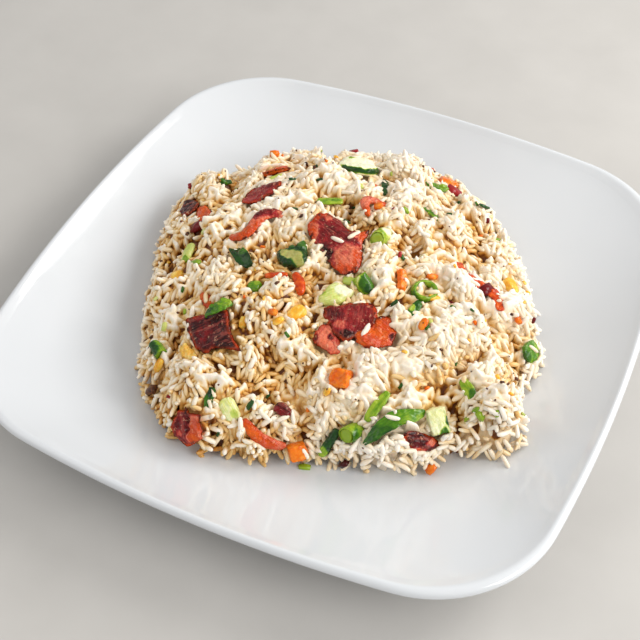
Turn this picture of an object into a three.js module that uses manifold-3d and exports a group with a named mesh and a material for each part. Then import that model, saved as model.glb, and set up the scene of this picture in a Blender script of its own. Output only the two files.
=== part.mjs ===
// Fried rice with cured meat, greens and carrot, heaped on a square coupe plate.
// Units are millimetres, +Z is up, and the origin is under the plate's middle at the foot.

import * as THREE from 'three';
import { mergeVertices } from 'three/addons/utils/BufferGeometryUtils.js';
import Module from 'manifold-3d';

// ---- driving dimensions ----

const GAP = 0.3;                 // clearance between pieces that touch
const DENT_GAP = 0.45;           // a topping's height above the bottom of its own dent
const DENT_REACH = 32;           // no topping spreads further than this from its middle
const CRUMB_GAP = 1.2;           // a grain or crumb stands this clear of every topping

const plate = {
  half: 133,                     // middle of a side, from the centre
  corner: 55.2,                  // radius of the rounded corners
  side: 658,                     // radius of the slightly bowed sides
  floor: 7,                      // inner floor above the table
  rim: 29,                       // top of the rim
  thick: 4.4,                    // wall thickness at the floor
  lip: 3.8,                      // wall thickness at the rim
  crest: 1.2,                    // height of the rounded rim above the inner wall
  well: 0.54,                    // where the flat floor ends, as a share of the half side
  brim: 0.972,                   // where the inner wall meets the rounded rim
  foot: { inner: 0.53, outer: 0.57 },
};

const mound = {
  x: -1.5,                       // middle of the heap on the plate
  y: 4.5,
  radius: 94,
  height: 38,                    // above the plate's floor
  flatness: 2.2,                 // exponents of the dome's profile
  shoulder: 0.6,
  rings: 24,
  edge: 1.6,                     // thickness of the outermost grains
  bed: 0.7,                      // underside above the curve of the plate's wall
  bump: 2.6,                     // height of the bumps that single grains make
  crowding: 1.22,                // exponent that sets the rings closer towards the edge
  margin: 0.06,                  // share at the edge where the clumps fade out
};

// How far the heap's outline leaves a circle: cosine and sine shares for 2, 3, 4 and 5 lobes.
const moundLobes = [[0.013, -0.021], [0.024, -0.004], [-0.002, -0.056], [-0.012, -0.002]];

// Tongues and bays of the outline: direction in degrees, reach in mm, half width in degrees.
const edgeLumps = [
  { at: -102, reach: 4.5, spread: 8 },
  { at: -88, reach: 2, spread: 5 },
  { at: -53, reach: 4.5, spread: 7 },
  { at: -37, reach: -3.5, spread: 5 },
  { at: -24, reach: 9, spread: 7 },
  { at: -8, reach: -3.5, spread: 7 },
  { at: 8, reach: 3, spread: 5 },
  { at: 100, reach: 3, spread: 8 },
  { at: 160, reach: 2.5, spread: 6 },
];

// Lumps of rice that stand proud of the heap: place, radius and height.
const clumps = [
  { x: -56, y: -8, radius: 12, height: 4.5 },
  { x: -25, y: 52, radius: 11, height: 4.5 },
  { x: 3, y: 73, radius: 11, height: 4.5 },
  { x: -42, y: 28, radius: 9, height: 3.5 },
  { x: 91, y: -38, radius: 15, height: 8 },
  { x: -66, y: -40, radius: 13, height: 4.5 },
  { x: 58, y: -65, radius: 12, height: 4.5 },
  { x: 73, y: 13, radius: 12, height: 3.5 },
  { x: -29, y: -75, radius: 11, height: 4 },
  { x: -15, y: -30, radius: 11, height: 2.5 },
  { x: 24, y: -4, radius: 9, height: 3 },
  { x: 57, y: 9, radius: 10, height: 3 },
  { x: 57, y: -19, radius: 12, height: 3 },
  { x: -14, y: -60, radius: 14, height: 4 },
  { x: -46, y: -68, radius: 11, height: 4 },
  { x: 39, y: 45, radius: 12, height: 4 },
  { x: 32, y: -50, radius: 9, height: 3 },
  { x: 84, y: -14, radius: 11, height: 3.5 },
  { x: -76, y: 30, radius: 12, height: 3.5 },
  { x: 5, y: 28, radius: 10, height: 2.5 },
];

// Single grains that lie on the heap: size, how many, and how far out as a share of its edge.
const grain = { length: 7.8, width: 2.4, count: 80, reach: 0.97 };

// Scraps too small to stand apart, each part of the heap: place, heading and length.
const crumbs = [
  { x: -70, y: 0, turn: 20, length: 7 },
  { x: 27, y: 78, turn: 24, length: 8 },
  { x: 38, y: -75, turn: 0, length: 5 },
  { x: 71, y: -62, turn: 60, length: 5 },
  { x: 49, y: -21, turn: 80, length: 4.5 },
  { x: 81, y: 12, turn: 30, length: 4 },
  { x: 24, y: -61, turn: 60, length: 4.5 },
  { x: -10, y: -41, turn: -10, length: 4 },
  { x: -50, y: -71, turn: 70, length: 6 },
  { x: -49, y: -80, turn: 10, length: 5.5 },
  { x: -4, y: 21, turn: 90, length: 6 },
  { x: -58, y: -22, turn: -25, length: 6 },
  { x: -73, y: 34, turn: 60, length: 6 },
  { x: 54, y: 58, turn: 10, length: 6 },
  { x: -3, y: -77, turn: 60, length: 5 },
  { x: 27, y: 42, turn: 10, length: 5 },
  { x: 84, y: -45, turn: 0, length: 5.5 },
  { x: -36, y: 55, turn: 30, length: 4 },
  { x: -28, y: 18, turn: 50, length: 4 },
  { x: 23, y: -81, turn: 20, length: 5 },
  { x: -60, y: 60, turn: 120, length: 6 },
  { x: 44, y: 72, turn: 40, length: 6 },
  { x: 78, y: 38, turn: 100, length: 5 },
  { x: -30, y: 88, turn: 10, length: 5 },
  { x: 12, y: -12, turn: 10, length: 6 },
];

// ---- small helpers ----

const fullTurn = Math.PI * 2;
const goldenAngle = Math.PI * (3 - Math.sqrt(5));
const radians = THREE.MathUtils.degToRad;
const clamp = THREE.MathUtils.clamp;
const lerp = THREE.MathUtils.lerp;

function randomFrom(seed) {
  let state = seed >>> 0;
  return () => {
    state = (Math.imul(state, 1664525) + 1013904223) >>> 0;
    return state / 4294967296;
  };
}

// A closed skin through rings of points; each end is closed by a fan to its pole.
function loft(rings, firstPole, lastPole) {
  const count = rings[0].length;
  const points = [firstPole, ...rings.flat(), lastPole];
  const faces = [];
  for (let i = 0; i < count; i += 1) {
    const next = (i + 1) % count;
    faces.push(0, 1 + i, 1 + next);
    for (let ring = 0; ring < rings.length - 1; ring += 1) {
      const near = 1 + ring * count;
      const far = near + count;
      faces.push(near + i, far + i, far + next);
      faces.push(near + i, far + next, near + next);
    }
    const last = 1 + (rings.length - 1) * count;
    faces.push(last + i, points.length - 1, last + next);
  }
  const geometry = new THREE.BufferGeometry().setFromPoints(points);
  geometry.setIndex(faces);
  return geometry;
}

// ---- plate ----

// The bowed sides and the round corners are arcs that meet smoothly. A side's arc is struck
// from inset on the X axis, a corner's from (knuckle, knuckle), and they meet at swing.
const inset = plate.half - plate.side;
const knuckle = (inset + Math.sqrt(2 * (plate.side - plate.corner) ** 2 - inset ** 2)) / 2;
const swing = Math.atan2(knuckle, knuckle - inset);

// One turn of the rim.
function plateOutline() {
  const side = new THREE.EllipseCurve(inset, 0, plate.side, plate.side, -swing, swing);
  const corner = new THREE.EllipseCurve(
    knuckle, knuckle, plate.corner, plate.corner, swing, Math.PI / 2 - swing);
  const quarter = [...side.getPoints(4).slice(0, -1), ...corner.getPoints(6).slice(0, -1)];
  const centre = new THREE.Vector2();
  return [0, 1, 2, 3].flatMap(
    (i) => quarter.map((p) => p.clone().rotateAround(centre, i * Math.PI / 2)));
}

// Distance from the middle to the rim in a direction.
function outlineRadius(angle) {
  const meeting = Math.atan2(
    knuckle + plate.corner * Math.sin(swing), knuckle + plate.corner * Math.cos(swing));
  const off = Math.abs(angle - Math.round(angle / (Math.PI / 2)) * (Math.PI / 2));
  if (off < meeting) {
    return inset * Math.cos(off) + Math.sqrt(plate.side ** 2 - (inset * Math.sin(off)) ** 2);
  }
  const away = knuckle * Math.SQRT2;
  const turned = off - Math.PI / 4;
  return away * Math.cos(turned) + Math.sqrt(plate.corner ** 2 - (away * Math.sin(turned)) ** 2);
}

const outline = plateOutline();

// The plate is nearly round at the foot and square at the rim.
const squareness = (share) => clamp(share, 0, 1) ** 2;

// Height and slope of the inner face at a share of the half side.
function plateInner(share) {
  const run = Math.max(share - plate.well, 0) / (plate.brim - plate.well);
  const rise = plate.rim - plate.crest - plate.floor;
  return {
    z: plate.floor + rise * run * run,
    slope: 2 * rise * run / (plate.brim - plate.well) / plate.half,
  };
}

function plateRing(share, z) {
  return outline.map((p) => {
    const radius = lerp(plate.half, p.length(), squareness(share)) * share;
    return new THREE.Vector3(p.x, p.y, 0).setLength(radius).setZ(z);
  });
}

// The underside lies a wall's thickness below the inner face.
function plateUnder(share) {
  const { z, slope } = plateInner(share);
  const thick = lerp(plate.thick, plate.lip, clamp((share - plate.well) / (1 - plate.well), 0, 1));
  const length = Math.hypot(1, slope);
  return [share + thick * slope / length / plate.half, z - thick / length];
}

function makePlate() {
  const inner = [0.54, 0.62, 0.7, 0.78, 0.86, 0.92, plate.brim].map((s) => [s, plateInner(s).z]);
  const rim = [[0.983, plate.rim], [0.995, plate.rim - 0.4], [1, plate.rim - 1.9]];
  const under = [0.962, 0.88, 0.79, 0.7, 0.62].map(plateUnder);
  const base = plate.floor - plate.thick;
  const foot = [
    [plate.foot.outer + 0.012, base + 0.2], [plate.foot.outer, 0],
    [plate.foot.inner, 0], [plate.foot.inner - 0.01, base],
  ];
  const rings = [...inner, ...rim, ...under, ...foot].map(([s, z]) => plateRing(s, z));
  const top = new THREE.Vector3(0, 0, plate.floor);
  const bottom = new THREE.Vector3(0, 0, base);
  return loft(rings, top, bottom);
}

// The share of the half side that a place on the plate stands at.
function plateShare(x, y) {
  const radius = Math.hypot(x, y);
  const square = outlineRadius(Math.atan2(y, x));
  let share = radius / plate.half;
  for (let i = 0; i < 8; i += 1) {
    share = radius / lerp(plate.half, square, squareness(share));
  }
  return share;
}

const plateTop = (x, y) => plateInner(plateShare(x, y)).z;

// ---- rice ----

// Distance from the heap's middle to its edge in a direction.
function moundRadius(angle) {
  let share = 1;
  moundLobes.forEach(([c, s], i) => {
    share += c * Math.cos((i + 2) * angle) + s * Math.sin((i + 2) * angle);
  });
  let radius = mound.radius * share;
  for (const lump of edgeLumps) {
    const away = (angle - radians(lump.at) + 3 * Math.PI) % fullTurn - Math.PI;
    radius += lump.reach * Math.exp(-((away / radians(lump.spread)) ** 2));
  }
  return radius;
}

// Top of the rice, without the bumps of single grains.
function moundTop(x, y) {
  const dx = x - mound.x;
  const dy = y - mound.y;
  const share = Math.hypot(dx, dy) / moundRadius(Math.atan2(dy, dx));
  const dome = Math.max(1 - share ** mound.flatness, 0) ** mound.shoulder;
  let z = plateTop(x, y) + mound.bed + mound.edge + mound.height * dome;
  for (const clump of clumps) {
    const away = Math.hypot(x - clump.x, y - clump.y) / clump.radius;
    const fade = clamp((1 - share) / mound.margin, 0, 1);
    if (away < 1) z += clump.height * (1 - away * away) ** 2 * fade;
  }
  return z;
}

// The bare heap: rings of points round its middle, six more in each ring, and an underside
// that follows the plate.
function heapCore() {
  const random = randomFrom(41);
  const points = [];
  const at = (angle, share) => {
    const radius = moundRadius(angle) * share;
    return [mound.x + radius * Math.cos(angle), mound.y + radius * Math.sin(angle)];
  };
  const rows = [];
  for (let ring = 0; ring <= mound.rings; ring += 1) {
    const count = Math.max(ring * 6, 1);
    const share = 1 - (1 - ring / mound.rings) ** mound.crowding;
    const row = [];
    for (let i = 0; i < count; i += 1) {
      const [x, y] = at(fullTurn * i / count, share);
      const bump = ring < mound.rings ? (random() - 0.5) * mound.bump : 0;
      row.push(points.length);
      points.push(new THREE.Vector3(x, y, moundTop(x, y) + bump));
    }
    rows.push(row);
  }
  const upper = [];
  for (let ring = 1; ring <= mound.rings; ring += 1) {
    const inner = rows[ring - 1];
    const outer = rows[ring];
    for (let i = 0; i < outer.length; i += 1) {
      const sector = Math.floor(i / ring);
      const a = inner[(i - sector) % inner.length];
      upper.push([a, outer[i], outer[(i + 1) % outer.length]]);
      if ((i + 1) % ring !== 0) {
        upper.push([a, outer[(i + 1) % outer.length], inner[(i - sector + 1) % inner.length]]);
      }
    }
  }
  const lower = [];
  let previous = rows[mound.rings];
  for (const [share, ratio] of [[1, 1], [0.88, 2], [0.74, 2]]) {
    const count = previous.length / ratio;
    const row = [];
    for (let i = 0; i < count; i += 1) {
      const [x, y] = at(fullTurn * i / count, share);
      row.push(points.length);
      points.push(new THREE.Vector3(x, y, plateTop(x, y) + mound.bed));
    }
    previous.forEach((p, i) => {
      const next = previous[(i + 1) % previous.length];
      const here = row[Math.floor(i / ratio)];
      lower.push([p, here, next]);
      if ((i + 1) % ratio === 0) lower.push([next, here, row[(Math.floor(i / ratio) + 1) % count]]);
    });
    previous = row;
  }
  const centre = points.length;
  points.push(new THREE.Vector3(mound.x, mound.y, plate.floor + GAP));
  previous.forEach((p, i) => lower.push([p, centre, previous[(i + 1) % previous.length]]));
  return { points, upper, lower };
}

// ---- toppings ----

// Radii of an uneven oval, evenly spaced round it.
function oval(length, width, ragged, seed) {
  const random = randomFrom(seed);
  const count = 12;
  const power = 2.4;
  return Array.from({ length: count }, (_, i) => {
    const angle = fullTurn * i / count;
    const round = (Math.abs(Math.cos(angle) / length) ** power
      + Math.abs(Math.sin(angle) / width) ** power) ** (-1 / power) / 2;
    return round * (1 + ragged * (random() - 0.5));
  });
}

// The radius in a direction, eased from one given radius to the next.
function reachAt(reach, angle) {
  const place = ((angle / fullTurn) % 1 + 1) % 1 * reach.length;
  const low = Math.floor(place) % reach.length;
  const ease = THREE.MathUtils.smoothstep(place % 1, 0, 1);
  return lerp(reach[low], reach[(low + 1) % reach.length], ease);
}

// A thin sheet or slab with a free outline. cup lifts its edge, bend curls it along its
// length, and wave ripples it. Both faces are split alike, and the rim is thinner.
function slice({ reach, thick, sides = 12, rings = 2, cup = 0, bend = 0, wave = 0, phase = 0 }) {
  const rimShare = 0.62;
  const crowding = 0.8;
  const longest = Math.max(...reach);
  const level = (x, y) => cup * (x * x + y * y) / longest ** 2 + bend * (x / longest) ** 2
    + wave * Math.sin(x / longest * 4.2 + phase) * Math.cos(y / longest * 3.1 + phase / 2);
  const ring = (share, side) => Array.from({ length: sides }, (_, i) => {
    const angle = fullTurn * i / sides;
    const radius = reachAt(reach, angle) * share;
    const x = radius * Math.cos(angle);
    const y = radius * Math.sin(angle);
    const half = thick / 2 * (share === 1 ? rimShare : 1);
    return new THREE.Vector3(x, y, level(x, y) + side * half);
  });
  const shares = Array.from({ length: rings }, (_, k) => ((k + 1) / rings) ** crowding);
  const top = shares.map((share) => ring(share, 1));
  const bottom = shares.map((share) => ring(share, -1)).reverse();
  const pole = new THREE.Vector3(0, 0, thick / 2);
  return loft([...top, ...bottom], pole, pole.clone().negate());
}

// A strip or leaf along X: arch lifts its middle, sway bends it sideways, twist turns it in
// degrees from end to end, and trough cups its section.
function strip({ length, width, thick, arch = 0, sway = 0, hook = 0, twist = 0, trough = 0,
  taper = 0.6, stations = 6 }) {
  const rings = [];
  const lastRing = 0.93;
  const near = 0.02;
  const spine = (t) => new THREE.Vector3(
    length / 2 * t, sway * (1 - t * t) + hook * Math.sin(Math.PI * t), arch * (1 - t * t));
  for (let k = 0; k < stations; k += 1) {
    const t = (k / (stations - 1)) * 2 - 1;
    const at = t * lastRing;
    const middle = spine(at);
    const ahead = spine(at + near).sub(spine(at - near)).normalize();
    const across = new THREE.Vector3(-ahead.y, ahead.x, 0).normalize();
    across.applyAxisAngle(ahead, radians(twist) * t / 2);
    const up = ahead.clone().cross(across);
    const wide = width / 2 * lerp(1, taper, t * t);
    const section = [[1, 0], [0.55, 1], [-0.55, 1], [-1, 0], [-0.55, -1], [0.55, -1]];
    rings.push(section.map(([v, w]) => middle.clone()
      .addScaledVector(across, wide * v)
      .addScaledVector(up, thick / 2 * w + trough * v * v)));
  }
  return loft(rings, spine(-1), spine(1));
}

// A cut ring or tube of stalk, its axis along Z, pressed a little oval.
function tube({ radius, length, wall, squash = 0.85 }) {
  const half = length / 2;
  const inner = radius - wall;
  const profile = [[inner, -half], [radius, -half], [radius, half], [inner, half], [inner, -half]];
  const ring = new THREE.LatheGeometry(profile.map(([r, z]) => new THREE.Vector2(r, z)), 10);
  ring.rotateX(Math.PI / 2);
  ring.scale(1, squash, 1);
  return ring;
}

// A diced cube or kernel: a box whose corners are drawn in, with uneven cuts.
function chunk({ length, width, height, round = 0.4, uneven = 0.08, seed = 1 }) {
  const random = randomFrom(seed);
  const ballRadius = 0.6;
  const faceCentre = 0.51;
  const block = bare(new THREE.BoxGeometry(1, 1, 1, 2, 2, 2));
  const place = block.attributes.position;
  for (let i = 0; i < place.count; i += 1) {
    const corner = new THREE.Vector3().fromBufferAttribute(place, i);
    const ball = corner.clone().setLength(ballRadius);
    corner.lerp(ball, corner.length() > faceCentre ? round : 0);
    const shake = () => 1 + uneven * (random() - 0.5) * 2;
    corner.multiply(new THREE.Vector3(length * shake(), width * shake(), height * shake()));
    place.setXYZ(i, ...corner.toArray());
  }
  return block;
}

// Only positions, with shared vertices merged.
function bare(geometry) {
  geometry.deleteAttribute('normal');
  geometry.deleteAttribute('uv');
  return mergeVertices(geometry, 1e-4);
}

// Lays a piece on the heap: its own Z follows the heap's slope. raise is its middle above the
// rice, turn its heading, pitch lifts its far end and bank its left side, in degrees.
function lay(mesh, { x, y, turn: heading = 0, raise = 1, pitch = 0, bank = 0 }) {
  const step = 5;
  const slopeX = (moundTop(x + step, y) - moundTop(x - step, y)) / (2 * step);
  const slopeY = (moundTop(x, y + step) - moundTop(x, y - step)) / (2 * step);
  const up = new THREE.Vector3(-slopeX, -slopeY, 1).normalize();
  const ahead = new THREE.Vector3(Math.cos(radians(heading)), Math.sin(radians(heading)), 0);
  ahead.addScaledVector(up, -ahead.dot(up)).normalize();
  const left = up.clone().cross(ahead);
  const frame = new THREE.Matrix4().makeBasis(ahead, left, up);
  const tip = new THREE.Euler(radians(bank), -radians(pitch), 0);
  mesh.quaternion.setFromRotationMatrix(frame);
  mesh.quaternion.multiply(new THREE.Quaternion().setFromEuler(tip));
  mesh.position.set(x, y, moundTop(x, y)).addScaledVector(up, raise);
}

// ---- pieces ----

const finish = {
  glaze: new THREE.MeshStandardMaterial({ color: 0xf3f3ef, roughness: 0.15 }),
  rice: new THREE.MeshStandardMaterial({ color: 0xf1e9d6, roughness: 0.55 }),
  lean: new THREE.MeshStandardMaterial({ color: 0x7a2a20, roughness: 0.35 }),
  fat: new THREE.MeshStandardMaterial({ color: 0xc9653c, roughness: 0.35 }),
  pink: new THREE.MeshStandardMaterial({ color: 0xb8604e, roughness: 0.4 }),
  pepper: new THREE.MeshStandardMaterial({ color: 0xc8492a, roughness: 0.3 }),
  green: new THREE.MeshStandardMaterial({ color: 0x3f7d2a, roughness: 0.35 }),
  dark: new THREE.MeshStandardMaterial({ color: 0x234f22, roughness: 0.3 }),
  pale: new THREE.MeshStandardMaterial({ color: 0xc3d68a, roughness: 0.4 }),
  carrot: new THREE.MeshStandardMaterial({ color: 0xe37a25, roughness: 0.4 }),
  corn: new THREE.MeshStandardMaterial({ color: 0xe5b23c, roughness: 0.4 }),
};

const dish = new THREE.Group();
const toppings = [];

// Adds a piece to the dish.
function serve(name, geometry, material) {
  const mesh = new THREE.Mesh(faceOut(bare(geometry)), material);
  mesh.name = name;
  dish.add(mesh);
  return mesh;
}

// Turns the faces round where a loft came out inside out.
function faceOut(geometry) {
  const place = geometry.attributes.position;
  const index = geometry.index.array;
  let volume = 0;
  const corner = (i) => new THREE.Vector3().fromBufferAttribute(place, index[i]);
  for (let i = 0; i < index.length; i += 3) {
    volume += corner(i).dot(corner(i + 1).cross(corner(i + 2)));
  }
  if (volume < 0) geometry.setIndex(Array.from(index).reverse());
  return geometry;
}

// Puts a topping on the heap.
function garnish(name, geometry, material, place) {
  const mesh = serve(name, geometry, material);
  lay(mesh, place);
  mesh.updateMatrixWorld();
  toppings.push(mesh);
}

// Cured meat: thin slices and curled strips.
const meatThick = 2.4;
garnish('meat_crown', slice({ thick: meatThick, sides: 16, rings: 3, cup: 1.5, wave: 1.1, phase: 1,
  reach: [10, 14, 10, 15, 21, 18, 6, 6, 11, 16, 15, 10] }), finish.lean,
{ x: -0.5, y: 4, turn: 24, raise: 2.4, bank: 4 });
garnish('meat_middle', slice({ thick: meatThick, sides: 14, rings: 3, cup: 1, wave: 1, phase: 2,
  reach: [9.5, 12, 10.5, 8.5, 8, 9.5, 11.5, 8, 8.5, 11, 9.5, 9] }), finish.lean,
{ x: 20, y: -29.7, turn: 5, raise: 2, bank: 3 });
garnish('meat_middle_pale', slice({ thick: meatThick, cup: 0.8, wave: 0.5,
  reach: [6, 7.5, 7, 5, 4, 4.5, 5.5, 5.5, 5, 6, 6, 5.5] }), finish.pink,
{ x: 12.3, y: -40.8, turn: -80, raise: 1.2 });
garnish('meat_middle_fat', slice({ thick: meatThick, cup: 1, wave: 0.6, phase: 3,
  reach: [9, 8.5, 5, 4, 4, 4, 7, 8, 7, 7, 7.5, 8.5] }), finish.fat,
{ x: 34, y: -30.5, turn: 43, raise: 1.2 });
garnish('meat_left', slice({ thick: 2.8, sides: 16, rings: 3, cup: 1.5, wave: 1.2, phase: 4,
  reach: [19, 11, 9, 10.5, 9.5, 10.5, 14.5, 10.5, 8.5, 8.5, 9.5, 10] }), finish.lean,
{ x: -31, y: -54, turn: -17, raise: 2.2 });
garnish('meat_left_tip', strip({ length: 12, width: 5, thick: 2.2, arch: 1, twist: 30 }),
  finish.fat,
  { x: -42, y: -40, turn: -36, raise: 0.5, bank: -18 });
garnish('meat_corner', slice({ thick: 2.8, cup: 2.5, bend: -2, wave: 0.8,
  reach: [7.5, 7, 7, 7.5, 9, 8.5, 9, 8.5, 7.5, 7.5, 7.5, 8.5] }), finish.lean,
{ x: -24, y: -90.5, turn: -67, raise: 1.2 });
garnish('meat_back_left', slice({ thick: meatThick, wave: 0.9, cup: 1,
  reach: [10.5, 6, 6.5, 9, 8.5, 9, 10.5, 7, 5.5, 4.5, 5, 9] }), finish.lean,
{ x: -47, y: 24, turn: 47, raise: 1.6, bank: -10 });
garnish('meat_arch', strip({ length: 27, width: 5.5, thick: 2.3, arch: 2.5, hook: 3, twist: 50,
  stations: 8 }), finish.fat, { x: -40, y: 3.5, turn: 42, raise: 1.8 });
garnish('meat_back', slice({ thick: meatThick, wave: 0.7, reach: oval(17, 10, 0.3, 5) }),
  finish.fat,
  { x: -53, y: 47, turn: 42, raise: 1.6, bank: -30 });
garnish('meat_edge_dark', slice({ thick: 2.6, cup: 1.5, reach: oval(12, 9, 0.4, 6) }), finish.lean,
  { x: -81, y: 14, turn: -43, raise: 1.6 });
garnish('meat_edge_fat', slice({ thick: meatThick, cup: 1, reach: oval(15, 7, 0.3, 7) }),
  finish.fat,
  { x: -70, y: 8.5, turn: -40, raise: 1.8 });
garnish('meat_hook', strip({ length: 15, width: 4.6, thick: 2.3, sway: 7, arch: 1.5, twist: 30,
  stations: 7 }), finish.fat, { x: 6.5, y: 31.5, turn: 69, raise: 1.6 });
garnish('meat_right', strip({ length: 32, width: 5, thick: 2.2, hook: 2.6, arch: 1, twist: 40,
  stations: 8 }), finish.pepper, { x: 60, y: 17, turn: -38, raise: 1.6 });
garnish('meat_front', slice({ thick: 2.6, cup: 1, wave: 0.6,
  reach: [8.5, 5, 4, 4, 6, 9, 6, 4, 3.5, 3.5, 4, 6.5] }), finish.lean,
{ x: 63.5, y: -59, turn: 20, raise: 1.6 });
garnish('meat_front_left', strip({ length: 21, width: 5.6, thick: 2.6, sway: -3, arch: 1, twist: 20,
  stations: 7 }), finish.fat, { x: 5, y: -80.5, turn: -20, raise: 0.9 });
garnish('meat_sunk', chunk({ length: 7.5, width: 5, height: 4, seed: 9 }), finish.lean,
  { x: 9, y: -71, turn: -12, raise: 1 });
garnish('meat_back_bit', strip({ length: 7, width: 4, thick: 2.4, twist: 20 }), finish.fat,
  { x: -6.5, y: 54, turn: -4, raise: 0 });
garnish('meat_behind', slice({ thick: meatThick, cup: 1.5, wave: 0.8,
  reach: oval(19, 13, 0.4, 21) }),
  finish.lean, { x: 4, y: 93, turn: 70, raise: 1.8 });
garnish('meat_behind_left', strip({ length: 18, width: 6, thick: 2.4, sway: 3, twist: 30,
  stations: 7 }), finish.fat, { x: -60, y: 72, turn: 130, raise: 1.6 });

// Red pepper and carrot.
garnish('pepper_strip', strip({ length: 12.5, width: 5, thick: 2.4, sway: 1, twist: 15 }),
  finish.pepper,
  { x: -8, y: -22, turn: -53, raise: 1 });
garnish('pepper_sliver', strip({ length: 10, width: 3.4, thick: 2 }), finish.pepper,
  { x: -18, y: -21.5, turn: 23, raise: 0.5 });
garnish('carrot_middle', chunk({ length: 8.5, width: 8, height: 7, round: 0.35, seed: 3 }),
  finish.carrot,
  { x: 27, y: -52.5, turn: 18, raise: 2.2 });
garnish('carrot_low_left', chunk({ length: 7.5, width: 7, height: 6, seed: 4 }), finish.carrot,
  { x: 18.4, y: -78.6, turn: 46, raise: 1.8 });
garnish('carrot_right', strip({ length: 11, width: 4.6, thick: 3.6, taper: 0.8, sway: 0.6 }),
  finish.carrot,
  { x: 30.5, y: -1.5, turn: -65, raise: 1.2 });
garnish('carrot_behind', chunk({ length: 9, width: 8, height: 6, seed: 12 }), finish.carrot,
  { x: 20, y: 89, turn: 30, raise: 1.6 });

// Sweetcorn and egg.
garnish('corn_middle', chunk({ length: 8, width: 6, height: 5.5, round: 0.75, seed: 5 }),
  finish.corn,
  { x: -2, y: -35, turn: 65, raise: 1.4 });
garnish('corn_left', chunk({ length: 8.5, width: 6.5, height: 5, round: 0.75, seed: 6 }),
  finish.corn,
  { x: -64, y: -28, turn: -39, raise: 1.2 });
garnish('corn_right', chunk({ length: 8.5, width: 6, height: 5, round: 0.7, seed: 7 }), finish.corn,
  { x: 70, y: 32, turn: -44, raise: 1 });
garnish('egg_left', chunk({ length: 9, width: 5, height: 4.5, round: 0.5, uneven: 0.14, seed: 8 }),
  finish.corn, { x: -38.5, y: -64.5, turn: -33, raise: 0.2 });

// Zucchini: half moons and a block, skin at the rim.
garnish('zucchini_curl', slice({ thick: 5, sides: 14, rings: 2,
  reach: [6.5, 6.5, 8, 9.5, 9.5, 8, 6.5, 7, 8, 8.5, 8.5, 7] }), finish.dark,
{ x: -17, y: -8, turn: 28, raise: 1.8, bank: -14 });
garnish('zucchini_slice', slice({ thick: 5.5, sides: 14, rings: 2, reach: oval(20, 16, 0.12, 11) }),
  finish.pale, { x: -16, y: 61, turn: 5, raise: 2, bank: -16 });
garnish('zucchini_block', chunk({ length: 11, width: 8, height: 8, round: 0.3, seed: 13 }),
  finish.pale,
  { x: 67, y: -48, turn: -50, raise: 2 });

// Leek and scallion: pale cuts, rings, green strips and leaves.
garnish('leek_low', chunk({ length: 9, width: 6, height: 4, seed: 14 }), finish.pale,
  { x: -11, y: -80, turn: -43, raise: 1.2 });
garnish('leek_middle', slice({ thick: 5, sides: 12, rings: 2,
  reach: [7.5, 8, 6, 5.5, 5.5, 6, 8, 7.5, 6, 5.5, 5.5, 6] }), finish.pale,
{ x: 9.5, y: -20, turn: 37, raise: 1.6 });
garnish('leek_back_left', strip({ length: 10, width: 5.5, thick: 3, taper: 0.8 }), finish.pale,
  { x: -66, y: -14, turn: -87, raise: 1.2 });
garnish('tube_front', tube({ radius: 4, length: 8, wall: 1.3 }), finish.green,
  { x: 38, y: -66, turn: 16, raise: 2, pitch: 20, bank: 12 });
garnish('tube_middle', tube({ radius: 3.8, length: 8, wall: 1.3 }), finish.dark,
  { x: 18, y: -10.5, turn: -30, raise: 2.2, pitch: 58 });
garnish('tube_upper', tube({ radius: 4, length: 10, wall: 1.5 }), finish.pale,
  { x: 13.5, y: 18, turn: 86, raise: 1.8, pitch: 62 });
garnish('tube_left', tube({ radius: 3.2, length: 7.5, wall: 1.1 }), finish.dark,
  { x: -52, y: -65, turn: -30, raise: 1.8, pitch: 70 });
garnish('ring_right', tube({ radius: 5.6, length: 3.6, wall: 1.2, squash: 0.8 }), finish.green,
  { x: 41.5, y: -1, turn: 34, raise: 1.8, bank: 10 });
garnish('tail_right', strip({ length: 10.5, width: 4.4, thick: 1.3, trough: 0.6, arch: 0.6 }),
  finish.green,
  { x: 41.5, y: -12, turn: -97, raise: 0.5 });
garnish('strip_front', strip({ length: 14.5, width: 5, thick: 1.5, trough: 0.8, arch: 0.8 }),
  finish.green,
  { x: 44, y: -56, turn: -100, raise: 0.9 });
garnish('stem_front', strip({ length: 13, width: 4.4, thick: 3.2, taper: 0.85, arch: 0.5 }),
  finish.dark,
  { x: 30, y: -71.5, turn: -88, raise: 1.4 });
garnish('strip_upper', strip({ length: 12, width: 5, thick: 1.6, trough: 0.6, taper: 0.8 }),
  finish.green,
  { x: -17, y: 31, turn: 23, raise: 1.2 });
garnish('strip_right', strip({ length: 10.5, width: 5.4, thick: 1.6, trough: 0.6 }), finish.green,
  { x: 75, y: -34, turn: -42, raise: 1.2 });
garnish('leaf_front', strip({ length: 27, width: 9.5, thick: 1.3, trough: 1.4, arch: 3, taper: 0.3,
  sway: 1.2, twist: 20, stations: 9 }), finish.dark, { x: 54, y: -60.5, turn: 53, raise: -1 });
garnish('leaf_left', strip({ length: 14, width: 8, thick: 1.3, trough: 1.4, arch: 1, twist: 70,
  taper: 0.5, stations: 7 }), finish.dark, { x: -38, y: -15, turn: -24, raise: 1.3 });
garnish('leaf_on_meat', strip({ length: 12, width: 6, thick: 1.2, trough: 1.2, arch: 1,
  twist: 30 }),
  finish.green, { x: -32.5, y: -44.5, turn: 46, raise: 4 });
garnish('leaf_low_left', strip({ length: 10.5, width: 4.4, thick: 1.3, trough: 0.8 }), finish.dark,
  { x: -20, y: -80, turn: -77, raise: 1.2 });
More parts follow.
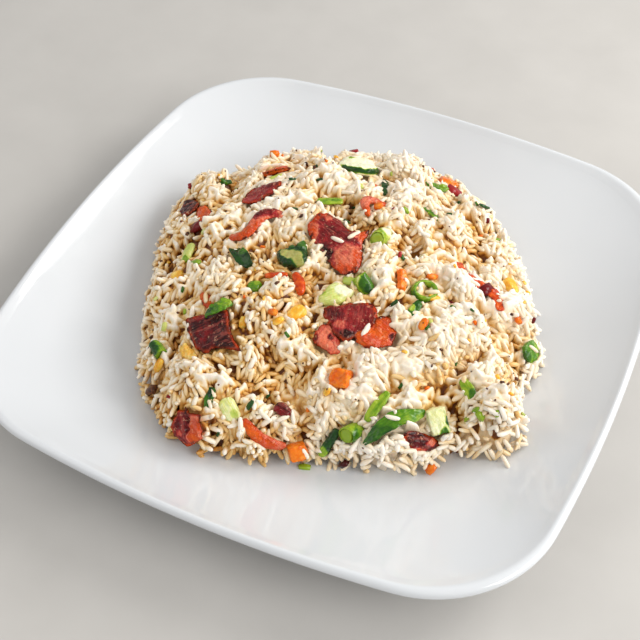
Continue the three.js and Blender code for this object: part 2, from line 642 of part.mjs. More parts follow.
garnish('leaf_far_right', slice({ thick: 1.6, cup: 1.2, wave: 0.6, reach: oval(12, 9, 0.3, 17) }),
  finish.green, { x: 20, y: 71, turn: 35, raise: 1.4, bank: -10 });
garnish('leaf_back', strip({ length: 15, width: 3.6, thick: 1.3, arch: 1, twist: 40 }), finish.dark,
  { x: 0, y: 55, turn: -69, raise: 0.9 });
garnish('leaf_behind', strip({ length: 18, width: 7, thick: 1.3, trough: 1.2, arch: 1, twist: 40,
  taper: 0.4, stations: 7 }), finish.green, { x: -28, y: 86, turn: 15, raise: 0.3 });
garnish('curl_far_right', strip({ length: 10.5, width: 4.2, thick: 1.4, sway: 2, trough: 0.6 }),
  finish.green, { x: 25, y: 46, turn: -32, raise: 1.2 });
garnish('crescent_back', strip({ length: 12, width: 3.8, thick: 2, sway: 2.4 }), finish.pale,
  { x: -49, y: 40, turn: 69, raise: 1 });
garnish('dice_left', chunk({ length: 6, width: 5.5, height: 5, seed: 18 }), finish.green,
  { x: -24, y: -29.5, turn: 10, raise: 1.2 });
garnish('square_right', slice({ thick: 2.6, reach: oval(11, 10, 0.1, 19) }), finish.green,
  { x: 89, y: 5, turn: 40, raise: 1.8 });

// ---- the heap with its dents, grains and crumbs ----

// Points over a mesh in world space, close enough that nothing slips between them.
function samples(mesh, spacing = 1.4) {
  const place = mesh.geometry.attributes.position;
  const index = mesh.geometry.index.array;
  const corner = (i) => new THREE.Vector3().fromBufferAttribute(place, index[i])
    .applyMatrix4(mesh.matrixWorld);
  const points = [];
  for (let i = 0; i < index.length; i += 3) {
    const [a, b, c] = [corner(i), corner(i + 1), corner(i + 2)];
    const steps = Math.ceil(Math.max(a.distanceTo(b), b.distanceTo(c), c.distanceTo(a)) / spacing);
    for (let u = 0; u <= steps; u += 1) {
      for (let v = 0; v <= steps - u; v += 1) {
        points.push(a.clone().addScaledVector(b.clone().sub(a), u / steps)
          .addScaledVector(c.clone().sub(a), v / steps));
      }
    }
  }
  return points;
}

// How much each corner of a facet counts at a place, or nothing where it doesn't reach there.
function shares([a, b, c], x, y) {
  const area = (b.x - a.x) * (c.y - a.y) - (c.x - a.x) * (b.y - a.y);
  const u = ((x - a.x) * (c.y - a.y) - (c.x - a.x) * (y - a.y)) / area;
  const v = ((b.x - a.x) * (y - a.y) - (x - a.x) * (b.y - a.y)) / area;
  return u < 0 || v < 0 || u + v > 1 ? null : [1 - u - v, u, v];
}

function heightAt(facet, weights) {
  return facet.reduce((sum, corner, i) => sum + corner.z * weights[i], 0);
}

// Presses the heap down under every topping, so that each lies in its own dent.
function dent(facets, places) {
  toppings.forEach((mesh, which) => {
    const { x, y } = mesh.position;
    for (const facet of facets.filter(([a]) => Math.hypot(a.x - x, a.y - y) < DENT_REACH)) {
      for (const p of places[which]) {
        const weights = shares(facet, p.x, p.y);
        const excess = weights ? heightAt(facet, weights) - (p.z - DENT_GAP) : 0;
        if (excess > 0) {
          const whole = weights.reduce((sum, w) => sum + w * w, 0);
          facet.forEach((corner, i) => {
            const lowest = plateTop(corner.x, corner.y) + mound.bed + GAP;
            corner.z = Math.max(corner.z - excess * weights[i] / whole, lowest);
          });
        }
      }
    }
  });
}

// Makes the function that turns a shape into a solid that can be joined to others.
async function joiner() {
  const wasm = await Module();
  wasm.setup();
  return (geometry) => new wasm.Manifold(new wasm.Mesh({
    numProp: 3,
    vertProperties: new Float32Array(geometry.attributes.position.array),
    triVerts: new Uint32Array(geometry.index.array),
  }));
}

function fromSolid(solid) {
  const mesh = solid.getMesh();
  const geometry = new THREE.BufferGeometry();
  geometry.setAttribute('position', new THREE.BufferAttribute(mesh.vertProperties, 3));
  geometry.setIndex(Array.from(mesh.triVerts));
  return geometry;
}

// A lump on the heap's surface at a place, its long axis along the slope there.
function settle(shape, facets, { x, y, turn: heading, tilt = 0, sink }) {
  const under = facets.find((facet) => shares(facet, x, y));
  if (!under) return null;
  const up = under[1].clone().sub(under[0]).cross(under[2].clone().sub(under[0])).normalize();
  const ahead = new THREE.Vector3(Math.cos(radians(heading)), Math.sin(radians(heading)), 0);
  ahead.addScaledVector(up, -ahead.dot(up)).normalize();
  ahead.applyAxisAngle(up.clone().cross(ahead), radians(tilt));
  const left = up.clone().cross(ahead).normalize();
  const middle = new THREE.Vector3(x, y, heightAt(under, shares(under, x, y)));
  const place = new THREE.Matrix4().makeBasis(ahead, left, ahead.clone().cross(left));
  place.setPosition(middle.addScaledVector(up, -sink));
  return shape.clone().applyMatrix4(place);
}

// Whether every corner of a lump is clear of the plate and of all the toppings.
function isClear(lump, places) {
  const corner = new THREE.Vector3();
  const position = lump.attributes.position;
  const box = new THREE.Box3().setFromBufferAttribute(position).expandByScalar(CRUMB_GAP);
  if (places.some((points) => points.some((p) => box.containsPoint(p)))) return false;
  for (let i = 0; i < position.count; i += 1) {
    corner.fromBufferAttribute(position, i);
    if (corner.z < plateTop(corner.x, corner.y) + mound.bed) return false;
  }
  return true;
}

async function makeRice() {
  const toSolid = await joiner();
  const { points, upper, lower } = heapCore();
  const facets = upper.map((face) => face.map((i) => points[i]));
  const places = toppings.map((mesh) => samples(mesh));
  dent(facets, places);
  const core = new THREE.BufferGeometry().setFromPoints(points);
  core.setIndex([...upper, ...lower].flat());
  let heap = toSolid(core);

  const random = randomFrom(7);
  const lumps = crumbs.map(({ x, y, turn: heading, length }) => settle(
    chunk({ length, width: 3.2, height: 2.6, round: 0.5, seed: 30 }), facets,
    { x, y, turn: heading, sink: 0.2 }));
  const single = bare(new THREE.SphereGeometry(0.5, 6, 3));
  single.rotateZ(Math.PI / 2);
  for (let i = 0; i < grain.count; i += 1) {
    const angle = i * goldenAngle;
    const radius = moundRadius(angle) * Math.sqrt((i + 0.5) / grain.count) * grain.reach;
    const size = 0.9 + 0.2 * random();
    lumps.push(settle(
      single.clone().scale(grain.length * size, grain.width * size, grain.width * size), facets, {
        x: mound.x + radius * Math.cos(angle),
        y: mound.y + radius * Math.sin(angle),
        turn: 360 * random(),
        tilt: 24 * (random() - 0.5),
        sink: 0.1,
      }));
  }
  for (const lump of lumps) {
    if (lump && isClear(lump, places)) heap = heap.add(toSolid(lump));
  }
  const largest = heap.decompose().sort((a, b) => b.volume() - a.volume())[0];
  return fromSolid(largest);
}

serve('plate', makePlate(), finish.glaze);
serve('rice', await makeRice(), finish.rice);

export default dish;
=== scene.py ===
"""Fried rice with cured meat, greens and carrot on a square coupe plate.

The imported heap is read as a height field. Grains settle on it one by one: most are fused in a
relief, the others lie loose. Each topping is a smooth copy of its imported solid.
Lengths in the tables are millimetres; meshes are metres.
"""
import math

import bmesh
import bpy
import numpy as np
from mathutils import Matrix, Vector, noise
from mathutils.bvhtree import BVHTree


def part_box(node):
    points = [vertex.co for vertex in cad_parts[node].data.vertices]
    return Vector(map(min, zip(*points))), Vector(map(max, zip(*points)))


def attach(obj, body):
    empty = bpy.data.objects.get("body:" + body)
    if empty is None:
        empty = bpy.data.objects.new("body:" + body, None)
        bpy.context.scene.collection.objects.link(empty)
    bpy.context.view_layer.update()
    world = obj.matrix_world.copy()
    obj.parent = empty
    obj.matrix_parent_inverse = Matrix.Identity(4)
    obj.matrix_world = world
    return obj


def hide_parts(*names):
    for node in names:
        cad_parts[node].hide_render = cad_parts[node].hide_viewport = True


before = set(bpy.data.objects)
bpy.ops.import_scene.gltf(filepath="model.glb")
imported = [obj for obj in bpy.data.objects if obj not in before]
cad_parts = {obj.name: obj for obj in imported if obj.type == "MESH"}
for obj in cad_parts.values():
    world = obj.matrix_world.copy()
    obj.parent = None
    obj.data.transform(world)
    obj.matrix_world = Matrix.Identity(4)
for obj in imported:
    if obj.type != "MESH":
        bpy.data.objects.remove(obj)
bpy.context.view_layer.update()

MM = 0.001

# ---- sizes ----

# The plate: heights of floor and rim, thickness in the middle and at the lip, and, as shares of
# the way to the rim, where the wall starts to rise, where the lip starts, and the foot ring.
PLATE = {
    "half": 133, "corner": 55.2, "side": 658, "floor": 7, "rim": 29, "crest": 1.2,
    "thick": 4.4, "lip": 3.8, "well": 0.54, "brim": 0.972, "foot_in": 0.53, "foot_out": 0.57,
}
# The heap: its middle, half the side of its height field, a cell of that, how deep the bed lies
# in creases and on clumps, and how many cells one face of its underside spans.
HEAP = {"x": -1.5, "y": 4.5, "reach": 115, "cell": 0.4, "depth": 5.4, "crest": 2.5, "step": 3}
GRAIN = {"length": 6.7, "width": 2.25}
EMPTY = -100.0      # the height where there is nothing


# ---- numbers ----

def lerp(a, b, t):
    return a + (b - a) * t


def smoothstep(low, high, value):
    t = np.clip((value - low) / (high - low), 0, 1)
    return t * t * (3 - 2 * t)


def linear(red, green, blue):
    """A screen colour, 0 to 255, as the shader's linear colour."""
    return tuple((c / 255 / 12.92 if c <= 10 else ((c / 255 + 0.055) / 1.055) ** 2.4)
                 for c in (red, green, blue)) + (1.0,)


def blurred(heights, sigma):
    """A soft copy of a height field; sigma is in cells."""
    rows, columns = heights.shape
    fy = np.fft.fftfreq(rows)[:, None]
    fx = np.fft.rfftfreq(columns)[None, :]
    keep = np.exp(-2 * (math.pi * sigma) ** 2 * (fx * fx + fy * fy))
    return np.fft.irfft2(np.fft.rfft2(heights) * keep, s=heights.shape)


def rough(points, size, seed=0.0, octaves=3):
    """Smooth noise from about -1 to 1 at each point, with lumps of that size."""
    shift = Vector((seed, seed * 1.7, -seed))
    return np.array([noise.fractal(Vector(p) / size + shift, 0.7, 2.0, octaves) for p in points])


# ---- meshes ----

def new_piece(name, points, faces, node=None):
    """A finished, closed piece from points in millimetres, riding on the dish."""
    mesh = bpy.data.meshes.new(name)
    mesh.from_pydata([tuple(p) for p in np.asarray(points) * MM], [], faces)
    mesh.update()
    mesh.shade_smooth()
    outward(mesh)
    return add_piece(name, mesh, node)


def add_to_scene(name, data):
    thing = bpy.data.objects.new(name, data)
    bpy.context.scene.collection.objects.link(thing)
    return thing


def add_piece(name, mesh, node=None):
    piece = add_to_scene(name, mesh)
    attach(piece, "root")
    if node:
        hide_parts(node)
    return piece


def loft(rings, first, last):
    """Faces through rings of points, closed by a pole at each end. Returns points and faces."""
    count = len(rings[0])
    points = [first] + [p for ring in rings for p in ring] + [last]
    end = len(points) - 1
    faces = []
    for i in range(count):
        j = (i + 1) % count
        faces.append((0, 1 + i, 1 + j))
        for row in range(len(rings) - 1):
            near, far = 1 + row * count, 1 + (row + 1) * count
            faces.append((near + i, far + i, far + j, near + j))
        start = 1 + (len(rings) - 1) * count
        faces.append((start + i, end, start + j))
    return points, faces


def outward(mesh):
    """Turns a closed mesh's faces outwards."""
    bm = bmesh.new()
    bm.from_mesh(mesh)
    bmesh.ops.recalc_face_normals(bm, faces=bm.faces)
    bm.to_mesh(mesh)
    bm.free()


def read_points(mesh):
    """A mesh's points in millimetres, one row each."""
    flat = np.empty(len(mesh.vertices) * 3, np.float32)
    mesh.vertices.foreach_get("co", flat)
    return flat.reshape(-1, 3).astype(float) / MM


def store(mesh, name, values, kind="FLOAT"):
    """Gives each point of a mesh a number or a vector of its own."""
    layer = mesh.attributes.get(name) or mesh.attributes.new(name, kind, "POINT")
    key = "vector" if kind == "FLOAT_VECTOR" else "value"
    layer.data.foreach_set(key, np.array(values, np.float32).ravel())


# ---- node graphs ----

def place_node(tree, kind, sockets=None, **settings):
    """Adds a node; each socket is given a value or another node's output."""
    node = tree.nodes.new(kind)
    for key, value in settings.items():
        setattr(node, key, value)
    for key, value in (sockets or {}).items():
        if isinstance(value, bpy.types.NodeSocket):
            tree.links.new(value, node.inputs[key])
        else:
            node.inputs[key].default_value = value
    return node


class Finish:
    """A procedural material on a Principled shader."""

    def __init__(self, name, **constants):
        self.material = bpy.data.materials.new(name)
        self.material.use_nodes = True
        self.tree = self.material.node_tree
        self.tree.nodes.clear()
        self.shader = self.node("ShaderNodeBsdfPrincipled")
        out = self.node("ShaderNodeOutputMaterial")
        self.tree.links.new(self.shader.outputs[0], out.inputs[0])
        self.place = self.node("ShaderNodeTexCoord").outputs["Object"]
        for key, value in constants.items():
            self.shader.inputs[key.replace("_", " ")].default_value = value

    def node(self, kind, sockets=None, **settings):
        return place_node(self.tree, kind, sockets, **settings)

    def value(self, name):
        """A number that each point of the mesh carries."""
        return self.node("ShaderNodeAttribute", attribute_name=name).outputs["Fac"]

    def own_place(self):
        """The place in a topping's own axes, which it carries."""
        return self.node("ShaderNodeAttribute", attribute_name="own").outputs["Vector"]

    def noise(self, size, detail=3.0, stretch=None, where=None, distort=0.0):
        """Noise with lumps of that size in millimetres."""
        where = where or self.place
        if stretch:
            where = self.node("ShaderNodeMapping", {"Vector": where, "Scale": stretch}).outputs[0]
        return self.node("ShaderNodeTexNoise", {
            "Vector": where, "Scale": 1 / (size * MM), "Detail": detail, "Distortion": distort,
        }).outputs["Fac"]

    def ramp(self, factor, *stops):
        """A colour or a grey for a factor. A stop is a place from 0 to 1 and what it shows."""
        node = self.node("ShaderNodeValToRGB", {"Fac": factor})
        ramp = node.color_ramp
        while len(ramp.elements) < len(stops):
            ramp.elements.new(0.5)
        for element, (at, colour) in zip(ramp.elements, stops):
            element.position = at
            element.color = colour if isinstance(colour, tuple) else (colour, colour, colour, 1)
        return node.outputs["Color"]

    def mix(self, factor, a, b):
        """One colour where the factor is 0, the other where it is 1."""
        node = self.node("ShaderNodeMix", data_type="RGBA")
        for socket, value in zip((node.inputs[0], node.inputs[6], node.inputs[7]), (factor, a, b)):
            if isinstance(value, bpy.types.NodeSocket):
                self.tree.links.new(value, socket)
            else:
                socket.default_value = value
        return node.outputs[2]

    def maths(self, how, a, b):
        return self.node("ShaderNodeMath", {0: a, 1: b}, operation=how).outputs[0]

    def vary(self, value, by, amount):
        """A value moved up and down by a noise."""
        offset = self.maths("MULTIPLY", self.maths("SUBTRACT", by, 0.5), amount)
        return self.maths("ADD", value, offset)

    def set(self, key, socket):
        self.tree.links.new(socket, self.shader.inputs[key])

    def gloss(self, by, least, most):
        """Roughness between two values, by a noise."""
        self.set("Roughness", self.ramp(by, (0.35, least), (0.7, most)))

    def bump(self, height, strength, depth):
        node = self.node("ShaderNodeBump", {
            "Height": height, "Strength": strength, "Distance": depth * MM})
        self.tree.links.new(node.outputs[0], self.shader.inputs["Normal"])


# ---- plate ----

def outline_radius(angle):
    """Distance from the middle to the rim, where bowed sides meet round corners."""
    side, corner = PLATE["side"], PLATE["corner"]
    inset = PLATE["half"] - side
    knuckle = (inset + math.sqrt(2 * (side - corner) ** 2 - inset ** 2)) / 2
    swing = math.atan2(knuckle, knuckle - inset)
    meeting = math.atan2(knuckle + corner * math.sin(swing), knuckle + corner * math.cos(swing))
    quarter = math.pi / 2
    off = np.abs(angle - np.round(angle / quarter) * quarter)
    along = inset * np.cos(off) + np.sqrt(side ** 2 - (inset * np.sin(off)) ** 2)
    away = knuckle * math.sqrt(2)
    turned = off - math.pi / 4
    bend = np.sqrt(np.maximum(corner ** 2 - (away * np.sin(turned)) ** 2, 0))
    return np.where(off < meeting, along, away * np.cos(turned) + bend)


def inner_height(share):
    """The inner face at a share of the way to the rim: a flat floor that curves up."""
    run = np.maximum(share - PLATE["well"], 0) / (PLATE["brim"] - PLATE["well"])
    return PLATE["floor"] + (PLATE["rim"] - PLATE["crest"] - PLATE["floor"]) * run * run


def plate_top(x, y):
    """Height of the plate's inner face."""
    radius = np.hypot(x, y)
    square = outline_radius(np.arctan2(y, x))
    share = radius / PLATE["half"]
    for _ in range(8):
        share = radius / lerp(PLATE["half"], square, np.clip(share, 0, 1) ** 2)
    return inner_height(share)


def eased(profile, steps):
    """A smooth line through the points of a profile."""
    p = np.array([profile[0], *profile, profile[-1]], float)
    line = []
    for i in range(1, len(p) - 2):
        for t in np.arange(steps) / steps:
            line.append(0.5 * (2 * p[i] + (p[i + 1] - p[i - 1]) * t
                               + (2 * p[i - 1] - 5 * p[i] + 4 * p[i + 1] - p[i + 2]) * t ** 2
                               + (3 * (p[i] - p[i + 1]) + p[i + 2] - p[i - 1]) * t ** 3))
    return line + [p[-2]]


def under(share):
    """The underside, a wall's thickness below the inner face."""
    rise = PLATE["rim"] - PLATE["crest"] - PLATE["floor"]
    span = PLATE["brim"] - PLATE["well"]
    slope = 2 * rise * max(share - PLATE["well"], 0) / span / span / PLATE["half"]
    thick = lerp(PLATE["thick"], PLATE["lip"],
                 min(max((share - PLATE["well"]) / (1 - PLATE["well"]), 0), 1))
    length = math.hypot(1, slope)
    return share + thick * slope / length / PLATE["half"], inner_height(share) - thick / length


def plate_profile():
    """Shares of the way to the rim, and heights, from the inner face over the lip to the foot."""
    rim, base = PLATE["rim"], PLATE["floor"] - PLATE["thick"]
    brim, foot_in, foot_out = PLATE["brim"], PLATE["foot_in"], PLATE["foot_out"]
    wall_end = brim - 0.012
    inner = [(share, inner_height(share)) for share in np.linspace(0.05, wall_end, 40)]
    lip = eased([(wall_end, inner_height(wall_end)), (brim, inner_height(brim) + 0.15),
                 (0.9815, rim - 0.12), (0.989, rim - 0.06), (0.9965, rim - 0.8),
                 (1.0, rim - 2.2), (0.9965, rim - 3.5), under(0.968)], 5)
    below = [under(share) for share in np.linspace(0.96, 0.62, 18)]
    foot = eased([under(0.62), (foot_out + 0.022, base + 0.15), (foot_out + 0.004, base - 0.5),
                  (foot_out - 0.001, 0.6), (foot_out - 0.006, 0), (foot_in + 0.006, 0),
                  (foot_in + 0.001, 0.6), (foot_in - 0.003, base - 0.4),
                  (foot_in - 0.012, base)], 4)
    return inner + lip[1:] + below[1:] + foot[1:] + [(0.3, base)]


def glaze_finish():
    glaze = Finish("white glaze", Coat_Weight=0.35, Coat_Roughness=0.04, IOR=1.5)
    glaze.set("Base Color", glaze.ramp(glaze.noise(60, 2), (0.3, linear(212, 216, 221)),
                                       (0.7, linear(216, 220, 225))))
    glaze.gloss(glaze.noise(9, 4), 0.07, 0.16)
    glaze.bump(glaze.noise(14, 2), 0.08, 0.5)
    return glaze.material


def make_plate():
    sides = 288
    angles = np.linspace(0, 2 * math.pi, sides, endpoint=False)
    edge = outline_radius(angles)
    rings = []
    for share, z in plate_profile():
        radius = lerp(PLATE["half"], edge, min(max(share, 0), 1) ** 2) * share
        rings.append(np.stack([radius * np.cos(angles), radius * np.sin(angles),
                               np.full_like(angles, max(z, 0))], 1))
    points, faces = loft(rings, np.array([0, 0, PLATE["floor"]]),
                         np.array([0, 0, PLATE["floor"] - PLATE["thick"]]))
    plate = new_piece("glazed_plate", points, faces, "plate")
    plate.data.materials.append(glaze_finish())


# ---- the heap as a height field ----

class Field:
    """The places of a square grid of cells round the heap."""

    def __init__(self):
        self.count = int(2 * HEAP["reach"] / HEAP["cell"]) + 1
        line = np.arange(self.count) * HEAP["cell"] - HEAP["reach"]
        self.x = line[None, :] + HEAP["x"]
        self.y = line[:, None] + HEAP["y"]

    def cell(self, x, y):
        """Column and row of a place."""
        column = np.rint((x - HEAP["x"] + HEAP["reach"]) / HEAP["cell"]).astype(int)
        row = np.rint((y - HEAP["y"] + HEAP["reach"]) / HEAP["cell"]).astype(int)
        return np.clip(column, 0, self.count - 1), np.clip(row, 0, self.count - 1)

    def window(self, x, y, reach):
        """The rows and columns within reach of a place."""
        first_column, first_row = self.cell(x - reach, y - reach)
        last_column, last_row = self.cell(x + reach, y + reach)
        return slice(first_row, last_row + 1), slice(first_column, last_column + 1)

    def drop(self, nodes, spacing=2):
        """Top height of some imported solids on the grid."""
        heights = np.full((self.count, self.count), EMPTY)
        above, down = 0.2, Vector((0, 0, -1))
        for name in nodes:
            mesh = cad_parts[name].data
            tree = BVHTree.FromPolygons([v.co for v in mesh.vertices],
                                        [tuple(p.vertices) for p in mesh.polygons])
            low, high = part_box(name)
            c0, r0 = self.cell(low.x / MM, low.y / MM)
            c1, r1 = self.cell(high.x / MM, high.y / MM)
            for row in range(r0, r1 + 1, spacing):
                for column in range(c0, c1 + 1, spacing):
                    start = Vector((self.x[0, column] * MM, self.y[row, 0] * MM, above))
                    hit = tree.ray_cast(start, down)[0]
                    if hit is not None:
                        block = heights[row:row + spacing, column:column + spacing]
                        np.maximum(block, hit.z / MM, out=block)
        return heights


TOPPINGS = sorted(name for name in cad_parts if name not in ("plate", "rice"))

field = Field()
ground = plate_top(field.x, field.y)
rice_top = field.drop(["rice"])
toppings_top = field.drop(TOPPINGS, spacing=1)
inside = rice_top > EMPTY
over = toppings_top > EMPTY
depth_in = blurred(inside.astype(float), 10)       # half at the heap's edge, 1 well inside
beside = blurred(over.astype(float), 6)            # up to 1 on a topping, fading round it
beside_top = blurred(np.where(over, toppings_top, 0), 6) / np.maximum(beside, 0.02)
under_topping = blurred(over.astype(float), 3) > 0.9

# Clumps that grains stick in: seed, spacing, roundness, unevenness and height.
CLUMPS = [(11, 16, 13, 1.0, 2.6), (12, 8, 6, 0.7, 1.5)]
# Mounds of rice that stand proud: place, radius and height.
MOUNDS = [(38, 33, 12, 2), (86, -40, 11, 6), (53, -65, 9, 3.5), (-51, -4, 10, 4.5),
          (-26, 43, 11, 4), (0, 78, 9, 4.5), (20, 79, 8, 5), (-61, 64, 8, 4), (-29, -44, 8, 3),
          (48, 14, 8, 3.5), (-18, -84, 8, 3), (72, -6, 10, 3.5), (78, 22, 9, 3), (8, 58, 9, 3)]


def drift(random, sigma):
    """A soft random field with a spread of 1; sigma is in cells."""
    wave = blurred(random.standard_normal(ground.shape), sigma)
    return wave / wave.std()


def cobbles(seed, spacing, radius, uneven):
    """Round clumps that meet in creases."""
    random = np.random.default_rng(seed)
    height = np.full_like(ground, -9.0)
    count = int((2 * HEAP["reach"] / spacing) ** 2 * 1.3)
    for x, y in random.uniform(-HEAP["reach"], HEAP["reach"], (count, 2)):
        x, y = x + HEAP["x"], y + HEAP["y"]
        rows, columns = field.window(x, y, spacing * 1.6)
        lift = random.normal(0, uneven)
        stretch = random.uniform(0.8, 1.25)
        turn = random.uniform(0, 3)
        dx = field.x[:, columns] - x
        dy = field.y[rows] - y
        u = (dx * math.cos(turn) + dy * math.sin(turn)) * stretch
        v = (dy * math.cos(turn) - dx * math.sin(turn)) / stretch
        patch = height[rows, columns]
        np.maximum(patch, lift - (u * u + v * v) / (2 * radius), out=patch)
    deepest = -4.5
    return blurred(np.maximum(height, deepest), 1.6)


def mound(x, y, radius):
    """A smooth bump, 1 at its middle."""
    return np.exp(-((field.x - x) ** 2 + (field.y - y) ** 2) / radius ** 2)


def softened_heap():
    """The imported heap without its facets, on the bare plate."""
    filled = np.where(inside, rice_top, ground)
    weight = blurred(inside.astype(float), 4)
    soft = blurred(np.where(inside, filled, 0), 4) / np.maximum(weight, 0.05)
    return np.where(inside, lerp(filled, soft, 0.8), ground)


def clumped(random):
    """Large and small clumps and finer unevenness, about nought in the middle of their range."""
    height = sum(tall * cobbles(*clump) for *clump, tall in CLUMPS) + 0.35 * drift(random, 4)
    height -= np.median(height[inside])
    return np.clip(height, -7, 3.6)


def heap_target():
    """The height that the rice reaches: softened and clumped, with mounds and a round edge."""
    random = np.random.default_rng(13)
    well_in = smoothstep(0.1, 0.9, depth_in * 2 - 1)
    clear = 1 - smoothstep(0.0, 0.35, beside)
    goal = softened_heap() + clumped(random) * well_in * lerp(0.2, 1, clear)
    for x, y, radius, height in MOUNDS:
        goal = goal + height * mound(x, y, radius) * lerp(0.3, 1, clear) * inside
    from_edge = 2 * blurred(inside.astype(float), 12) - 1.08 + 0.12 * drift(random, 11)
    rounded = 10.5 * np.sqrt(np.clip(from_edge, 0, 1)) + 60 * smoothstep(0.5, 0.72, from_edge)
    goal = np.minimum(goal, ground + rounded)
    banked = smoothstep(0.04, 0.3, beside) * inside * ~over
    below_top = beside_top - 3.2       # rice is banked up to here against a topping
    goal = goal - 0.8 * smoothstep(0, 0.3, beside) * ~over
    return goal + banked * np.maximum(below_top - goal, 0)


target = heap_target()
crease = target - blurred(target, 12)
bedded = inside & (depth_in > 0.86)
eaves = ground + 0.3 + 9 * smoothstep(0.84, 0.99, depth_in) + 60 * smoothstep(0.985, 1, depth_in)
proud = np.minimum(sum(mound(x, y, radius) for x, y, radius, _ in MOUNDS), 1)
pits = drift(np.random.default_rng(17), 4.5)
# Where grains are pressed together, more so at the right and on mounds.
pressed = drift(np.random.default_rng(19), 16) + 0.5 * smoothstep(20, 70, field.x)
pressed = np.minimum(smoothstep(0.5, 1.6, pressed) + 0.8 * proud, 1)
# Painted shade: the rice darkens towards the left and front, the side away from the lamps, in
# patches.
left_shade = smoothstep(20, -90, field.x + 0.7 * field.y)
left_shade = left_shade + 0.3 * drift(np.random.default_rng(29), 22)
# How grains tend to lie.
swirl = np.random.default_rng(23).standard_normal((2,) + ground.shape)
lie = np.arctan2(blurred(swirl[0], 13), blurred(swirl[1], 13)) / 2


def raise_grain(heights, grain):
    """Lifts a height field to the top of a grain that lies there."""
    x, y, base, heading, pitch, length, width = grain
    reach = length / 2 * math.cos(pitch)
    rows, columns = field.window(x, y, reach + 1)
    dx = field.x[:, columns] - x
    dy = field.y[rows] - y
    along = dx * math.cos(heading) + dy * math.sin(heading)
    across = dy * math.cos(heading) - dx * math.sin(heading)
    blunt = 2.6
    room = 1 - np.abs(along / reach) ** blunt - (across / (width / 2)) ** 2
    top = base + math.tan(pitch) * along + width / 2 * np.sqrt(np.maximum(room, 0))
    patch = heights[rows, columns]
    np.maximum(patch, np.where(room > 0, top, EMPTY), out=patch)


class Heap:
    """Grains settle one by one on a height field, each resting on what lies below it."""

    def __init__(self, heights, seed):
        self.heights = heights
        self.random = np.random.default_rng(seed)
        self.grains = []
        self.first_free = 0      # grains from here on may lie on toppings

    def settle(self, x, y, heading, length, width, lift=0.0, tilt=0.0, follow=1.0, keep=True):
        """Lays a grain on what is there; returns its middle's height and its pitch."""
        borne = 0.8      # the share of its length that touches
        steps = np.linspace(-1, 1, 7) * length / 2 * borne
        columns, rows = field.cell(x + steps * math.cos(heading), y + steps * math.sin(heading))
        under_it = self.heights[rows, columns]
        steepest = 1.3
        slope = (under_it * steps).sum() / (steps * steps).sum()
        slope = min(max(slope, -steepest), steepest) * follow + tilt
        gap = under_it - slope * steps
        base = lerp(gap.mean(), gap.max(), 0.25) + width * 0.05 + lift
        pitch = math.atan(slope)
        grain = (x, y, base, heading, pitch, length, width)
        raise_grain(self.heights, grain)
        if keep:
            self.grains.append(grain)
        return base, pitch

    def lay_scrap(self, kind, x, y, heading, length, width, lift):
        """Lays a scrap like a grain; returns what it is and how it lies."""
        z, pitch = self.settle(x, y, heading, length, width, lift=lift, keep=False)
        return kind, x, y, z, heading, pitch, length

    def fill(self, goal, batch=120, rounds=125, looked_at=14, aligned=0.65):
        """Drops grains in rounds, each time where the heap is furthest below its goal.

        It looks at several places for each grain. Most grains lie as those round them do."""
        random = self.random
        where = np.argwhere(goal - ground > 0.8)
        for _ in range(rounds):
            pick = where[random.integers(0, len(where), batch * looked_at)]
            lack = (goal - self.heights)[pick[:, 0], pick[:, 1]]
            order = np.argsort(-lack + random.uniform(-0.8, 0.8, len(lack)))[:batch]
            order = order[lack[order] > 0.3]
            for row, column in pick[order]:
                x = field.x[0, column] + random.uniform(-0.2, 0.2)
                y = field.y[row, 0] + random.uniform(-0.2, 0.2)
                if goal[row, column] - self.heights[row, column] < 0.1:
                    continue
                length, width = self.size()
                heading = random.uniform(0, 2 * math.pi)
                if random.random() < aligned:
                    heading = lie[row, column] + random.normal(0, 0.45)
                self.settle(x, y, heading, length, width,
                            tilt=random.choice((random.normal(0, 0.3), random.normal(0, 0.75))),
                            follow=random.uniform(0.35, 1))

    def strew(self, where, count, share=1.0, lift=0.0):
        """Lays some grains at random cells of a list."""
        for row, column in where[self.random.integers(0, len(where), count)]:
            length, width = self.size()
            self.settle(field.x[0, column], field.y[row, 0], self.random.uniform(0, 6.3),
                        length * share, width, lift=lift)

    def size(self):
        """A grain's length and width; about one in five is broken."""
        scale = self.random.normal(1, 0.1)
        length = GRAIN["length"] * np.clip(scale, 0.7, 1.22)
        if self.random.random() < 0.22:
            length *= self.random.uniform(0.45, 0.75)
        return length, GRAIN["width"] * np.clip(self.random.normal(1, 0.08), 0.8, 1.2)

    def shown(self):
        """The grains that can be seen, without those that a topping covers or would cut."""
        seen = []
        for number, grain in enumerate(self.grains):
            x, y, z, heading, pitch, length, width = grain
            reach = length * 0.36 * np.linspace(-1, 1, 5)
            columns, rows = field.cell(x + reach * math.cos(heading), y + reach * math.sin(heading))
            top = z + reach * math.sin(pitch) + width / 2
            buried = self.heights[rows, columns] - top
            covered = under_topping[rows, columns] & (toppings_top[rows, columns] > z - 1.5)
            poking = covered & (toppings_top[rows, columns] < z + 3)
            if number < self.first_free and (covered.all() or poking.any()):
                continue
            hidden_from = 0.9 + 3 * smoothstep(0.9, 1.6, steep[rows, columns].max())
            if buried.min() < hidden_from:
                seen.append(grain)
        return seen


